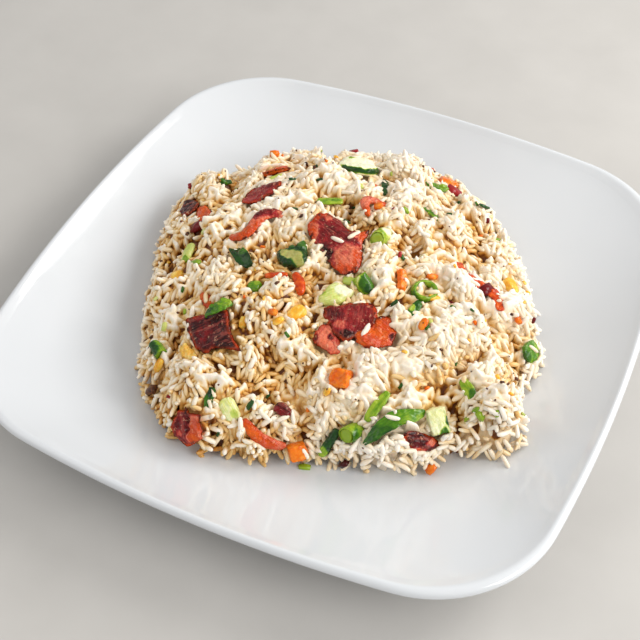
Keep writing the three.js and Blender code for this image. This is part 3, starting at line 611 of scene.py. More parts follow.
# Small scraps in the rice: what of, place, heading and length.
SCRAPS = [
    ("meat", -70, 0, 20, 7), ("meat", 27, 78, 24, 8), ("meat", 38, -75, 0, 5),
    ("carrot", 71, -62, 60, 5), ("carrot", 49, -21, 80, 4.5), ("carrot", 81, 12, 30, 4),
    ("yellow", 24, -61, 60, 4.5), ("carrot", -10, -41, -10, 4), ("yellow", -50, -71, 70, 6),
    ("burnt", -49, -80, 10, 5.5), ("leaf", -4, 21, 90, 6), ("stalk", -58, -22, -25, 6),
    ("leaf", -73, 34, 60, 6), ("stalk", 54, 58, 10, 6), ("leaf", -3, -77, 60, 5),
    ("leaf", 27, 42, 10, 5), ("stalk", 84, -45, 0, 5.5), ("leaf", -36, 55, 30, 4),
    ("leaf", -28, 18, 50, 4), ("stalk", 23, -81, 20, 5), ("carrot", -60, 60, 120, 6),
    ("leaf", 44, 72, 40, 6), ("yellow", 78, 38, 100, 5), ("meat", -30, 88, 10, 5),
    ("meat", 64, 17, 70, 7), ("stalk", 12, -12, 10, 6), ("yellow", -6, -44, 60, 5),
    ("yellow", -21, -47, 100, 5), ("yellow", 47, -2, 35, 6), ("carrot", 42, 7, 60, 5),
    ("carrot", 6, 33, 10, 4),
]
SCRAP_WIDTH, SCRAP_LIFT = 2.8, 0.5
# Crumbs strewn between them: what of, how many, least and greatest length.
CRUMBS = [("yellow", 20, 1.6, 2.8), ("carrot", 12, 1.4, 2.4), ("leaf", 26, 1.8, 4.0),
          ("stalk", 18, 2.0, 4.0), ("burnt", 26, 1.0, 2.2), ("meat", 8, 1.6, 2.8)]
CRUMB_WIDTH, CRUMB_LIFT = 1.6, 0.2
# Grains strewn against the toppings and past the heap's edge.
RIM_GRAINS, STRAY_GRAINS = 210, 7
# Loose grains laid on top of all: place and heading, and the least length that they have.
LOOSE = [(-1.8, 5.7, -6), (3.7, 10.9, 61), (28, -32, 80), (91, 6, 30), (-43, -40, 120),
         (60, -57, 25), (52, -59, 10), (45, 0, 10), (40, 2, 70)]
LOOSE_LEAST = 6.5


def pile_rice():
    """The bed that grains stick in, the heap of grains, and the scraps in it."""
    depth = lerp(HEAP["crest"], HEAP["depth"], smoothstep(0.6, -1.6, crease))
    bed = np.where(bedded, np.maximum(np.minimum(target - depth, eaves), ground + 0.3), ground)
    heap = Heap(bed.copy(), 5)
    heap.fill(np.where(inside, target, ground))
    scraps = [heap.lay_scrap(kind, x, y, math.radians(heading), length, SCRAP_WIDTH, SCRAP_LIFT)
              for kind, x, y, heading, length in SCRAPS]
    random = heap.random
    open_rice = np.argwhere(inside & (depth_in > 0.6) & (beside < 0.02))
    for kind, count, least, most in CRUMBS:
        for row, column in open_rice[random.integers(0, len(open_rice), count)]:
            heading, length = random.uniform(0, 6.3), random.uniform(least, most)
            scraps.append(heap.lay_scrap(kind, field.x[0, column], field.y[row, 0], heading,
                                         length, CRUMB_WIDTH, CRUMB_LIFT))
    heap.first_free = len(heap.grains)
    np.maximum(heap.heights, np.where(over, toppings_top - 0.3, EMPTY), out=heap.heights)
    rims = (beside > 0.12) & (beside < 0.42) & inside & ~over
    heap.strew(np.argwhere(rims), RIM_GRAINS, share=0.9, lift=-0.9)
    outskirts = (depth_in > 0.12) & (depth_in < 0.42)
    heap.strew(np.argwhere(outskirts), STRAY_GRAINS)
    for x, y, heading in LOOSE:
        length, width = heap.size()
        heap.settle(x, y, math.radians(heading), max(length, LOOSE_LEAST), width, lift=0.5)
    return bed, heap, scraps


def drawn_up(bed):
    """The bed drawn up between the grains, nearly to their tops where they clump.

    It is sunk less where they are pressed together, and more in pits and on steep sides."""
    level = blurred(np.where(over, heap.heights - 3, heap.heights), 3.5)
    sunk = lerp(2.3, 1.8, pressed) + 0.5 * pits + 0.8 * np.maximum(pits - 0.7, 0)
    sunk += 0.8 * smoothstep(0.7, 1.3, steep)
    drawn = np.minimum(level - np.maximum(sunk, 1.4), eaves)
    return np.where(bedded, np.maximum(bed, drawn), bed)


bare_bed, heap, scraps = pile_rice()
rise = blurred(heap.heights, 3) - blurred(heap.heights, 24)
steep = np.hypot(*np.gradient(blurred(heap.heights, 5), HEAP["cell"]))
surface = blurred(np.where(over, np.maximum(heap.heights, toppings_top - 1), heap.heights), 3.5)
core_top = drawn_up(bare_bed)


# ---- rice ----

def grain_body(sides=7, rings=5, bend=0.0, blunt=2.8, taper=0.5, split=0.0):
    """Points and faces of a cooked grain, one long and one wide, along X."""
    rows = []
    for t in np.cos(np.linspace(math.pi, 0, rings + 2))[1:-1]:
        radius = 0.5 * (1 - abs(t) ** blunt) ** taper * (1 + 0.08 * t)
        ring = []
        for k in range(sides):
            a = 2 * math.pi * k / sides
            dent = 1 - split * max(0, math.cos(a)) ** 4 * (1 - t * t)
            ring.append((t * 0.5, radius * math.cos(a) * dent + bend * (1 - t * t),
                         radius * math.sin(a) * 0.92))
        rows.append(ring)
    return loft(rows, (-0.5, 0, 0), (0.5, 0, 0))


def grain_shape(name, **form):
    points, faces = grain_body(**form)
    mesh = bpy.data.meshes.new(name)
    mesh.from_pydata(points, [], faces)
    mesh.shade_smooth()
    outward(mesh)
    return bpy.data.objects.new(name, mesh)


def scatter_tree():
    """Copies of a shape on points that carry their own turn, size and tone."""
    tree = bpy.data.node_groups.new("scatter on points", "GeometryNodeTree")

    def carried(name):
        return place_node(tree, "GeometryNodeInputNamedAttribute", {"Name": name},
                          data_type="FLOAT_VECTOR").outputs["Attribute"]

    for label, kind in (("Geometry", "Geometry"), ("Shape", "Object"), ("Length", "Float"),
                        ("Width", "Float"), ("Uneven", "Float"), ("Seed", "Int"),
                        ("Finish", "Material")):
        tree.interface.new_socket(label, in_out="INPUT", socket_type="NodeSocket" + kind)
    tree.interface.new_socket("Geometry", in_out="OUTPUT", socket_type="NodeSocketGeometry")
    given = place_node(tree, "NodeGroupInput").outputs
    shape = place_node(tree, "GeometryNodeObjectInfo", {"Object": given["Shape"]})
    least = place_node(tree, "ShaderNodeMath", {0: 1.0, 1: given["Uneven"]}, operation="SUBTRACT")
    most = place_node(tree, "ShaderNodeMath", {0: 1.0, 1: given["Uneven"]}, operation="ADD")
    chance = place_node(tree, "FunctionNodeRandomValue", {
        "Min": least.outputs[0], "Max": most.outputs[0], "Seed": given["Seed"],
    }, data_type="FLOAT_VECTOR").outputs["Value"]
    scale = place_node(tree, "ShaderNodeCombineXYZ", {
        "X": given["Length"], "Y": given["Width"], "Z": given["Width"]}).outputs[0]
    for factor in (carried("size"), chance):
        scale = place_node(tree, "ShaderNodeVectorMath", {0: scale, 1: factor},
                           operation="MULTIPLY").outputs[0]
    turned = place_node(tree, "FunctionNodeEulerToRotation", {"Euler": carried("turn")})
    copies = place_node(tree, "GeometryNodeInstanceOnPoints", {
        "Points": given["Geometry"], "Instance": shape.outputs["Geometry"],
        "Rotation": turned.outputs[0], "Scale": scale})
    real = place_node(tree, "GeometryNodeRealizeInstances", {"Geometry": copies.outputs[0]})
    painted = place_node(tree, "GeometryNodeSetMaterial", {
        "Geometry": real.outputs[0], "Material": given["Finish"]})
    place_node(tree, "NodeGroupOutput", {"Geometry": painted.outputs[0]})
    return tree


SCATTER = scatter_tree()


def scattered(name, shape, spots, finish, length, width, uneven=0.0, seed=1, label="tone"):
    """Copies of a shape as one plain mesh. A spot is place, turn, size and tone."""
    places, turns, sizes, tones = zip(*spots)
    mesh = bpy.data.meshes.new(name)
    mesh.from_pydata([tuple(np.array(place) * MM) for place in places], [], [])
    store(mesh, "turn", turns, "FLOAT_VECTOR")
    store(mesh, "size", sizes, "FLOAT_VECTOR")
    store(mesh, label, tones)
    seedbed = add_to_scene(name + "_points", mesh)
    modifier = seedbed.modifiers.new("scatter", "NODES")
    modifier.node_group = SCATTER
    values = {"Shape": shape, "Length": length * MM, "Width": width * MM, "Uneven": uneven,
              "Seed": seed, "Finish": finish}
    for item in SCATTER.interface.items_tree:
        if item.in_out == "INPUT" and item.name in values:
            modifier[item.identifier] = values[item.name]
    graph = bpy.context.evaluated_depsgraph_get()
    result = bpy.data.meshes.new_from_object(seedbed.evaluated_get(graph))
    bpy.data.objects.remove(seedbed)
    result.name = name
    for spare in ("turn", "size"):
        if spare in result.attributes:
            result.attributes.remove(result.attributes[spare])
    return add_piece(name, result)


# A grain's own tone, and how painted shade darkens it with depth and to the left, loose and in the
# bed.
RICE_TONE = 0.55
LOOSE_SHADE = (0.12, 0.2)
BED_SHADE = (0.36, 0.27)


def rice_finish():
    """Cooked rice, from brown over golden to near white, by a tone that holds painted light and
    shade.
    """
    rice = Finish("cooked rice", Coat_Weight=0.25, Coat_Roughness=0.2, Subsurface_Weight=0.4,
                  Subsurface_Scale=0.0009, IOR=1.4)
    rice.shader.inputs["Subsurface Radius"].default_value = (1.0, 0.85, 0.7)
    shade = rice.vary(rice.value("tone"), rice.noise(2.2, 2), 0.22)
    rice.set("Base Color", rice.ramp(
        shade, (0.0, linear(112, 56, 8)), (0.2, linear(202, 140, 52)),
        (0.42, linear(230, 193, 126)), (0.7, linear(242, 225, 197)), (1.0, linear(246, 236, 222))))
    rice.gloss(rice.noise(3, 2), 0.34, 0.52)
    rice.bump(rice.noise(0.9, 3), 0.12, 0.4)
    return rice.material


def relief_block(relief, cells):
    """Points and faces of a block with the relief on top and the plate's form below.

    The top is fine; the bottom has one face for each step by step cells."""
    step = HEAP["step"]
    count = relief.size
    upper = np.arange(count).reshape(relief.shape)
    xs = np.broadcast_to(field.x, relief.shape)
    ys = np.broadcast_to(field.y, relief.shape)
    low = np.minimum(ground + 0.2, relief)
    points = np.concatenate([np.stack([xs.ravel(), ys.ravel(), z.ravel()], 1)
                             for z in (relief, low)])
    tops, bottoms, walls = [], [], []
    for r, c in np.argwhere(cells):
        fine = upper[r * step:r * step + step + 1, c * step:c * step + step + 1]
        for i in range(step):
            for j in range(step):
                tops.append((fine[i, j], fine[i, j + 1], fine[i + 1, j + 1], fine[i + 1, j]))
        corners = fine[0, 0], fine[-1, 0], fine[-1, -1], fine[0, -1]
        bottoms.append(tuple(k + count for k in corners))
        for dr, dc, side in ((-1, 0, fine[0, :]), (1, 0, fine[-1, ::-1]),
                             (0, -1, fine[::-1, 0]), (0, 1, fine[:, -1])):
            rr, cc = r + dr, c + dc
            if not (0 <= rr < cells.shape[0] and 0 <= cc < cells.shape[1] and cells[rr, cc]):
                walls.append(tuple(side[::-1]) + (side[0] + count, side[-1] + count))
    faces = tops + bottoms + walls
    used = np.unique(np.concatenate([np.ravel(f) for f in (tops, bottoms)]
                                    + [np.concatenate(walls)]))
    fresh = np.zeros(2 * count, int)
    fresh[used] = np.arange(len(used))
    return points[used], [tuple(fresh[list(f)]) for f in faces], len(walls)


def rice_mass(grains, finish):
    """The rice that sticks together: a bed with the tops of its grains, in quarters."""
    step = HEAP["step"]
    relief = core_top.copy()
    for grain in grains:
        raise_grain(relief, grain)
    relief = blurred(relief, 0.55)
    firm = relief - ground > 0.5
    corners = firm[::step, ::step]
    cells = corners[:-1, :-1] & corners[1:, :-1] & corners[:-1, 1:] & corners[1:, 1:]
    middle = cells.shape[0] // 2
    halves = slice(0, middle), slice(middle, None)
    for end, rows in zip(("front", "back"), halves):
        for side, columns in zip(("left", "right"), halves):
            name = f"rice_{side}_{end}"
            part = np.zeros_like(cells)
            part[rows, columns] = cells[rows, columns]
            points, faces, walls = relief_block(relief, part)
            mesh = bpy.data.meshes.new(name)
            mesh.from_pydata(points * MM, [], faces)
            smooth = np.ones(len(faces), bool)
            smooth[len(faces) - walls:] = False
            mesh.polygons.foreach_set("use_smooth", smooth)
            add_piece(name, mesh, "rice" if name == "rice_left_front" else None)
            paint_shade_by_depth(mesh, RICE_TONE, *BED_SHADE)
            mesh.materials.append(finish)


def paint_shade_by_depth(mesh, tone, fall, left_shade_drop):
    """Paints light and shade on rice: near white where it stands proud, golden in the gaps, brown
    deep down.

    The painted shade falls with depth, and grows towards the left and front, away from the lamps."""
    place = read_points(mesh)
    columns, rows = field.cell(place[:, 0], place[:, 1])
    edge = smoothstep(0.98, 0.8, depth_in[rows, columns])
    open_side = np.maximum(edge, smoothstep(0.9, 1.8, steep[rows, columns]))
    open_side = np.maximum(open_side, smoothstep(0.1, 0.3, beside[rows, columns]))
    # Light gets between the grains from an open side, so depth counts for little there.
    depth = surface[rows, columns] - place[:, 2]
    depth = lerp(depth, np.minimum(depth, 0.6), open_side)
    # Painted shade: darker towards the left and front, away from the lamps.
    oil = left_shade[rows, columns]
    full_left_shade = np.clip(oil, 0, 1)
    # Painted shade: darker and more golden with depth among the grains, more so to the left.
    shade = tone - fall * lerp(0.55, 1.3, full_left_shade) * (depth - 0.3) - left_shade_drop * (oil - 0.28)
    # Painted light: lighter on mounds, at the heap's edge and on rises; painted shade in hollows.
    shade += 0.08 * proud[rows, columns] + 0.12 * edge * (1 - full_left_shade)
    shade += 0.06 * np.clip(rise[rows, columns], -2.2, 1.8) * (1 - edge)
    store(mesh, "tone", np.clip(shade, 0, 1))


def rice_grains(finish):
    """Most grains are fused in the mass; the others lie loose on it.

    More stick where they are pressed together, and none on steep sides or at the edge."""
    random = np.random.default_rng(3)
    shapes = {"rice_long": grain_shape("long grain", blunt=3.6),
              "rice_curved": grain_shape("curved grain", blunt=3.2, bend=0.22),
              "rice_plump": grain_shape("plump grain", blunt=4.2, split=0.3),
              "rice_bent": grain_shape("bent grain", blunt=3.0, bend=-0.15)}
    names = list(shapes)
    kinds = {name: [] for name in names}
    fused = []
    for grain in heap.shown():
        x, y, z, heading, pitch, length, width = grain
        column, row = field.cell(x, y)
        sticks = (lerp(0.5, 0.84, pressed[row, column]) * smoothstep(1.5, 0.75, steep[row, column])
                  * smoothstep(0.75, 0.95, depth_in[row, column]))
        if random.random() < sticks:
            fused.append(grain)
            continue
        turn = (random.uniform(0, 2 * math.pi), -pitch, heading)
        size = (length / GRAIN["length"], width / GRAIN["width"], width / GRAIN["width"])
        tone = RICE_TONE + random.normal(0, 0.1)
        kinds[names[random.integers(0, 4)]].append(((x, y, z), turn, size, tone))
    for name, spots in kinds.items():
        mesh = scattered(name, shapes[name], spots, finish, GRAIN["length"],
                         GRAIN["width"]).data
        tone = np.empty(len(mesh.vertices), np.float32)
        mesh.attributes["tone"].data.foreach_get("value", tone)
        paint_shade_by_depth(mesh, tone, *LOOSE_SHADE)
    rice_mass(fused, finish)


# ---- scraps ----

def chip_shape(name, seed, rounded=0.35):
    """A small uneven piece, one across."""
    random = np.random.default_rng(seed)
    bm = bmesh.new()
    bmesh.ops.create_cube(bm, size=1)
    bmesh.ops.subdivide_edges(bm, edges=bm.edges, cuts=1, use_grid_fill=True)
    for corner in bm.verts:
        ball = corner.co.normalized() * 0.58
        corner.co = corner.co.lerp(ball, rounded) * random.uniform(0.85, 1.12)
    mesh = bpy.data.meshes.new(name)
    bm.to_mesh(mesh)
    bm.free()
    mesh.shade_smooth()
    return bpy.data.objects.new(name, mesh)


# Kinds of scrap: piece, slot, how round, width and height as shares of the length, what the
# finish reads, and the least and greatest value of that.
SCRAP_KINDS = {
    "meat": ("scraps_of_meat", "lean", 0.35, 0.6, 0.4, "lean", 0.7, 1.0),
    "carrot": ("scraps_of_carrot", "carrot", 0.35, 0.7, 0.5, "tone", 0, 1),
    "yellow": ("scraps_of_corn_and_egg", "corn", 0.7, 0.62, 0.42, "tone", 0, 1),
    "burnt": ("browned_bits", "lean", 0.35, 0.7, 0.5, "tone", 0, 1),
    "leaf": ("scraps_of_leaf", "dark", 0.35, 0.42, 0.2, "pale", 0.05, 0.35),
    "stalk": ("scraps_of_stalk", "pale", 0.35, 0.5, 0.3, "pale", 0.5, 0.85),
}


def make_scraps():
    """Scraps of everything in the rice."""
    greens = greens_finish("chopped greens", LEAF_GREENS)
    finishes = {"meat": meat_finish(), "carrot": carrot_finish(), "yellow": corn_finish(),
                "burnt": burnt_finish(), "leaf": greens, "stalk": greens}
    random = np.random.default_rng(21)
    for seed, (kind, (name, slot, rounded, wide, tall, label, least, most)) in enumerate(
            SCRAP_KINDS.items(), 1):
        spots = []
        for what, x, y, z, heading, pitch, length in scraps:
            if what == kind:
                spots.append(((x, y, z), (random.uniform(-0.4, 0.4), -pitch, heading),
                              (length, length * wide, max(length * tall, 0.9)),
                              random.uniform(least, most)))
        scattered(name, chip_shape(kind + " scrap", seed, rounded), spots, finishes[kind],
                  1, 1, 0.12, 5, label)
    make_specks(random)


def make_specks(random, count=260):
    """Specks of pepper all over the rice."""
    spots = []
    places = np.argwhere(inside & ~over)
    for row, column in places[random.integers(0, len(places), count)]:
        size = random.uniform(0.45, 0.95)
        spots.append(((field.x[0, column], field.y[row, 0], heap.heights[row, column] - 0.1),
                      tuple(random.uniform(0, 6.3, 3)), (size, size * 0.7, size * 0.6), 0))
    scattered("specks_of_pepper", chip_shape("speck", 7), spots, burnt_finish(), 1, 1, 0.2)


# ---- toppings ----

def cage_of(node, bevel=0.0, sharp=40):
    """A packed topping as a closed mesh of large faces, and its points before any bevel."""
    bm = bmesh.new()
    bm.from_mesh(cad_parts[node].data)
    bmesh.ops.remove_doubles(bm, verts=bm.verts, dist=2e-6)
    bmesh.ops.join_triangles(bm, faces=bm.faces, angle_face_threshold=0.5,
                             angle_shape_threshold=1.2)
    points = np.array([v.co for v in bm.verts]) / MM
    if bevel:
        edges = [e for e in bm.edges if e.calc_face_angle() > math.radians(sharp)]
        bmesh.ops.bevel(bm, geom=edges, offset=bevel * MM, segments=2, profile=0.6,
                        affect="EDGES")
    mesh = bpy.data.meshes.new(node + "_piece")
    bm.to_mesh(mesh)
    bm.free()
    return mesh, points


def subdivided(mesh, levels=3):
    """A smooth copy of a mesh, three levels finer."""
    holder = add_to_scene(mesh.name + "_cage", mesh)
    smooth = holder.modifiers.new("smooth", "SUBSURF")
    smooth.levels = smooth.render_levels = levels
    graph = bpy.context.evaluated_depsgraph_get()
    result = bpy.data.meshes.new_from_object(holder.evaluated_get(graph))
    bpy.data.objects.remove(holder)
    return result


class Morsel:
    """A topping's smooth mesh, in its own axes: u along its heading, v to the left, w up."""

    def __init__(self, node, heading=25, bevel=0.0):
        self.node = node
        mesh, cage = cage_of(node, bevel)
        self.mesh = subdivided(mesh)
        self.mesh.name = node + "_piece"
        self.middle = cage.mean(0)
        spread = np.linalg.eigh(np.cov((cage - self.middle).T))[1]
        up = spread[:, 0] * np.sign(spread[2, 0] or 1)
        if abs(up[2]) < 0.5:
            up = np.array([0.0, 0.0, 1.0])
        self.axes = self.turned(up, heading)
        self.local = (read_points(self.mesh) - self.middle) @ self.axes.T
        self.fill_box((cage - self.middle) @ self.axes.T)

    def fill_box(self, points):
        """Stretches the piece, which smoothing has shrunk, to the box of some points."""
        low, high = self.local.min(0), self.local.max(0)
        self.local = points.min(0) + (self.local - low) * (np.ptp(points, 0) / (high - low))

    @staticmethod
    def turned(up, heading):
        """Axes with that way up, the first one along the heading."""
        turn = math.radians(heading)
        ahead = np.array([math.cos(turn), math.sin(turn), 0])
        ahead -= up * (ahead @ up)
        ahead /= np.linalg.norm(ahead)
        return np.array([ahead, np.cross(up, ahead), up])

    def aim(self, heading):
        """Turns the piece's own axes, not the piece."""
        world = self.local @ self.axes
        self.axes = self.turned(self.axes[2], heading)
        self.local = world @ self.axes.T

    def write(self):
        """Puts the points back in the mesh, in the dish's frame."""
        world = self.local @ self.axes + self.middle
        self.mesh.vertices.foreach_set("co", (world * MM).astype(np.float32).ravel())
        self.mesh.update()

    def normals(self):
        """Which way each point faces, in the piece's own axes."""
        self.write()
        flat = np.empty(len(self.mesh.vertices) * 3, np.float32)
        self.mesh.vertex_normals.foreach_get("vector", flat)
        return flat.reshape(-1, 3) @ self.axes.T

    def share(self, bins=36):
        """0 in the middle to 1 at the outline, and the direction of each point."""
        u, v = self.local[:, 0], self.local[:, 1]
        angle = np.arctan2(v, u)
        radius = np.hypot(u, v)
        place = ((angle / (2 * math.pi)) % 1) * bins
        reach = np.zeros(bins)
        np.maximum.at(reach, place.astype(int) % bins, radius)
        reach = (np.roll(reach, 1) + 2 * reach + np.roll(reach, -1)) / 4
        low = place.astype(int) % bins
        return radius / np.maximum(lerp(reach[low], reach[(low + 1) % bins], place % 1), 0.5), angle

    def trim(self, share, angle, outline, half):
        """Draws the outline to one given in halves of the piece's length and width."""
        line = np.array(outline + outline[:1]) * half
        steps = np.linspace(0, len(outline), len(outline) * 12, endpoint=False)
        at = steps.astype(int)
        line = lerp(line[at], line[at + 1], (steps - at)[:, None])
        turn = np.arctan2(line[:, 1], line[:, 0])
        order = np.argsort(turn)
        reach = np.interp(angle, turn[order], np.hypot(*line[order].T), period=2 * math.pi)
        self.local[:, 0] = share * reach * np.cos(angle)
        self.local[:, 1] = share * reach * np.sin(angle)

    def swell(self, size, height, seed, octaves=3):
        """Uneven swelling along the surface."""
        self.local = self.local + self.normals() * (
            height * rough(self.local, size, seed, octaves))[:, None]

    def paint(self, **tones):
        """Stores tones for the finish to read. Past 1 a tone stays at its end when mottled."""
        for name, tone in tones.items():
            store(self.mesh, name, np.broadcast_to(np.clip(tone, 0, 1.3), len(self.local)))

    def patch(self, tone, at, patches, ragged, inner, outer):
        """Sets patches of another tone, raised or sunk, with soft edges; returns the tone."""
        for u, v, radius, other, lift in patches:
            away = np.hypot(at[:, 0] - u, at[:, 1] - v) + ragged()
            near = 1 - smoothstep(radius * inner, radius * outer, away)
            tone = lerp(tone, other, near)
            self.local[:, 2] += lift * near
        return tone

    def serve(self, finish):
        """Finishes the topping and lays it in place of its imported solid."""
        self.write()
        store(self.mesh, "own", self.local * MM, "FLOAT_VECTOR")
        self.mesh.materials.clear()
        self.mesh.materials.append(finish)
        self.mesh.shade_smooth()
        return add_piece(self.node + "_piece", self.mesh, self.node)


# ---- finishes of the toppings ----

def meat_finish():
    """Cured meat: lean runs from orange fat through pink to dark lean, under a film of oil."""
    meat = Finish("cured meat", Coat_Weight=0.3, Coat_Roughness=0.06, IOR=1.4,
                  Specular_IOR_Level=0.14, Subsurface_Weight=0.1, Subsurface_Scale=0.001)
    own = meat.own_place()
    fibre = meat.noise(1.6, 3, (0.35, 2.4, 1.0), own, 0.6)
    patch = meat.noise(4.5, 3, None, own, 0.4)
    mixed = meat.vary(meat.vary(meat.value("lean"), patch, 0.46), fibre, 0.3)
    body = meat.ramp(mixed, (0.0, linear(226, 104, 26)), (0.2, linear(200, 66, 12)),
                     (0.42, linear(226, 124, 92)), (0.6, linear(176, 46, 44)),
                     (0.8, linear(124, 20, 24)), (1.0, linear(46, 8, 8)))
    # Painted highlights: pale pink streaks along the fibres.
    sheen_streak = meat.ramp(meat.noise(2.2, 2, (0.22, 1.7, 1.0), own, 0.9), (0.53, 0.0), (0.68, 0.36))
    body = meat.mix(sheen_streak, body, linear(200, 98, 84))
    rim = meat.maths("MULTIPLY", meat.value("rim"), meat.ramp(patch, (0.35, 0.3), (0.6, 1.0)))
    body = meat.mix(rim, body, linear(196, 64, 8))
    char = meat.maths("MULTIPLY", meat.value("rim"), meat.ramp(meat.noise(2.6, 2, None, own),
                                                               (0.5, 0.0), (0.62, 0.9)))
    body = meat.mix(char, body, linear(34, 10, 8))
    # Painted glints: small pale flecks stand in for highlights.
    fat = meat.ramp(meat.noise(1.5, 2, None, own, 0.5), (0.62, 0.0), (0.72, 0.45))
    body = meat.mix(fat, body, linear(246, 186, 148))
    meat.set("Base Color", body)
    meat.gloss(patch, 0.12, 0.3)
    relief = meat.maths("ADD", meat.maths("MULTIPLY", fibre, 0.7),
                        meat.maths("MULTIPLY", meat.noise(1.4, 3, None, own), 1.4))
    meat.bump(relief, 0.8, 1.2)
    return meat.material


LEAF_GREENS = ((12, 40, 14), (30, 76, 14), (76, 126, 14), (148, 174, 40), (206, 212, 120),
               (240, 240, 206))
SQUASH_GREENS = ((6, 28, 12), (22, 68, 14), (66, 110, 30), (148, 148, 72), (186, 180, 108),
                 (232, 228, 180))


def greens_finish(name, colours):
    """Greens: pale runs from dark skin or leaf to white stalk or flesh, fibres along u."""
    greens = Finish(name, Coat_Weight=0.35, Coat_Roughness=0.08, IOR=1.4, Specular_IOR_Level=0.25,
                    Subsurface_Weight=0.15, Subsurface_Scale=0.001)
    own = greens.own_place()
    fibre = greens.noise(0.9, 2, (0.12, 1.6, 1.6), own)
    patch = greens.noise(3.5, 3, None, own)
    pale = greens.vary(greens.vary(greens.value("pale"), fibre, 0.3), patch, 0.3)
    stops = zip((0.0, 0.2, 0.42, 0.6, 0.8, 1.0), colours)
    greens.set("Base Color", greens.ramp(pale, *[(at, linear(*c)) for at, c in stops]))
    greens.gloss(patch, 0.2, 0.42)
    greens.bump(greens.maths("ADD", fibre, patch), 0.35, 0.4)
    return greens.material


def plain_finish(name, stops, roughness, relief, size=2.6, coat=0.3):
    """A moist vegetable of one colour, mottled."""
    made = Finish(name, Coat_Weight=coat, Coat_Roughness=0.12, IOR=1.4, Specular_IOR_Level=0.25,
                  Subsurface_Weight=0.2, Subsurface_Scale=0.0012)
    last = len(stops) - 1
    made.set("Base Color", made.ramp(made.noise(size), *[
        (0.3 + 0.4 * i / last, linear(*colour)) for i, colour in enumerate(stops)]))
    made.gloss(made.noise(1.5, 2), roughness - 0.08, roughness + 0.1)
    made.bump(made.noise(0.8, 4), relief, 0.4)
    return made.material


def pepper_finish():
    return plain_finish("red pepper", ((164, 44, 4), (196, 66, 8), (222, 100, 28)), 0.25, 0.3)


def carrot_finish():
    return plain_finish("carrot", ((214, 92, 8), (230, 116, 16), (242, 150, 48)), 0.3, 0.16)


def corn_finish():
    return plain_finish("sweetcorn", ((222, 150, 30), (238, 180, 56), (250, 216, 120)), 0.28, 0.12)


def burnt_finish():
    return plain_finish("browned bits", ((44, 22, 12), (84, 44, 20), (136, 80, 36)), 0.5, 0.4, 1.2)


def egg_finish():
    return plain_finish("egg", ((222, 160, 52), (236, 190, 92), (246, 222, 150)), 0.5, 0.5, 1.8,
                        0.1)


# ---- cured meat ----

# Slices: slot, which way the fibres run, how lean, waves, and patches (u, v, radius, how lean,
# how much raised), u and v in halves of the piece's length and width.
MEAT_SLICES = {
    # The crown's sunk fold at its lower left is at its darkest: painted shade under the fold.
    "meat_crown": ("lean", -15, 0.84, 0.8, [
        (0.3, -0.6, 0.5, 0.12, 0.8), (0.22, -0.5, 0.27, 0.46, 0.3), (-0.9, 0.4, 0.3, 0.2, -0.8),
        (-0.3, 0.9, 0.16, 0.3, 0.2), (-0.55, -0.4, 0.3, 1.3, -1.8), (0.8, 0.2, 0.22, 0.15, 0.2)]),
    "meat_middle": ("lean", 105, 0.8, 0.8, [
        (-0.7, 0.5, 0.35, 0.95, 0.3), (0.3, 0.35, 0.5, 0.72, 0.6), (-0.35, -0.2, 0.25, 0.5, -0.4),
        (-0.1, -0.8, 0.3, 1.3, -0.3)]),
    "meat_middle_pale": ("pink", 80, 0.5, 0.5, [
        (-0.1, 0, 0.7, 0.4, 0.4), (0.35, 0.1, 0.22, 1.0, 0), (-0.9, 0.1, 0.3, 0.95, -0.3)]),
    "meat_middle_fat": ("fat", -10, 0.12, 0.6, [
        (0.85, -0.2, 0.3, 1.1, 0.3), (-0.5, -0.5, 0.4, 0.25, 0.4), (0.45, 0.6, 0.35, 0.16, -0.3)]),
    "meat_left": ("lean", 40, 0.98, 0.7, [(-0.5, 0.8, 0.25, 0.75, 0.2), (-0.2, 0, 0.4, 0.9, 0.3)]),
    # meat_corner: the pale patch at the lower left is a painted reflection; its two sunk folds are
    # darker with painted shade.
    "meat_corner": ("lean", 112, 0.84, 0.8, [
        (0.62, 0.1, 0.5, 0.22, 0.6), (0.5, -0.6, 0.4, 0.18, 0.4), (-0.45, -0.35, 0.16, 0.5, 0),
        (0, 0.85, 0.3, 1.0, 0.6), (0.05, 0.25, 0.14, 0.95, -1.2), (0.02, -0.15, 0.14, 0.9, -1.2)]),
    "meat_back_left": ("lean", 25, 0.7, 0.6, [(0.6, 0.2, 0.3, 0.9, 0.2)]),
    "meat_back": ("fat", 25, 0.12, 0.6, [(0.5, 0.1, 0.3, 0.6, 0.2)]),
    "meat_edge_dark": ("lean", 25, 1.0, 0.4, []),
    "meat_edge_fat": ("fat", 60, 0.12, 0.5, [(-0.5, 0.1, 0.3, 0.5, 0)]),
    "meat_front": ("lean", 25, 0.95, 0.5, [(0.6, 0, 0.3, 0.3, 0), (-0.2, -0.8, 0.4, 0.2, 0)]),
    "meat_behind": ("lean", 60, 0.8, 0.8, [
        (0.4, -0.3, 0.4, 0.2, 0.4), (-0.6, 0.2, 0.3, 0.4, -0.4)]),
}

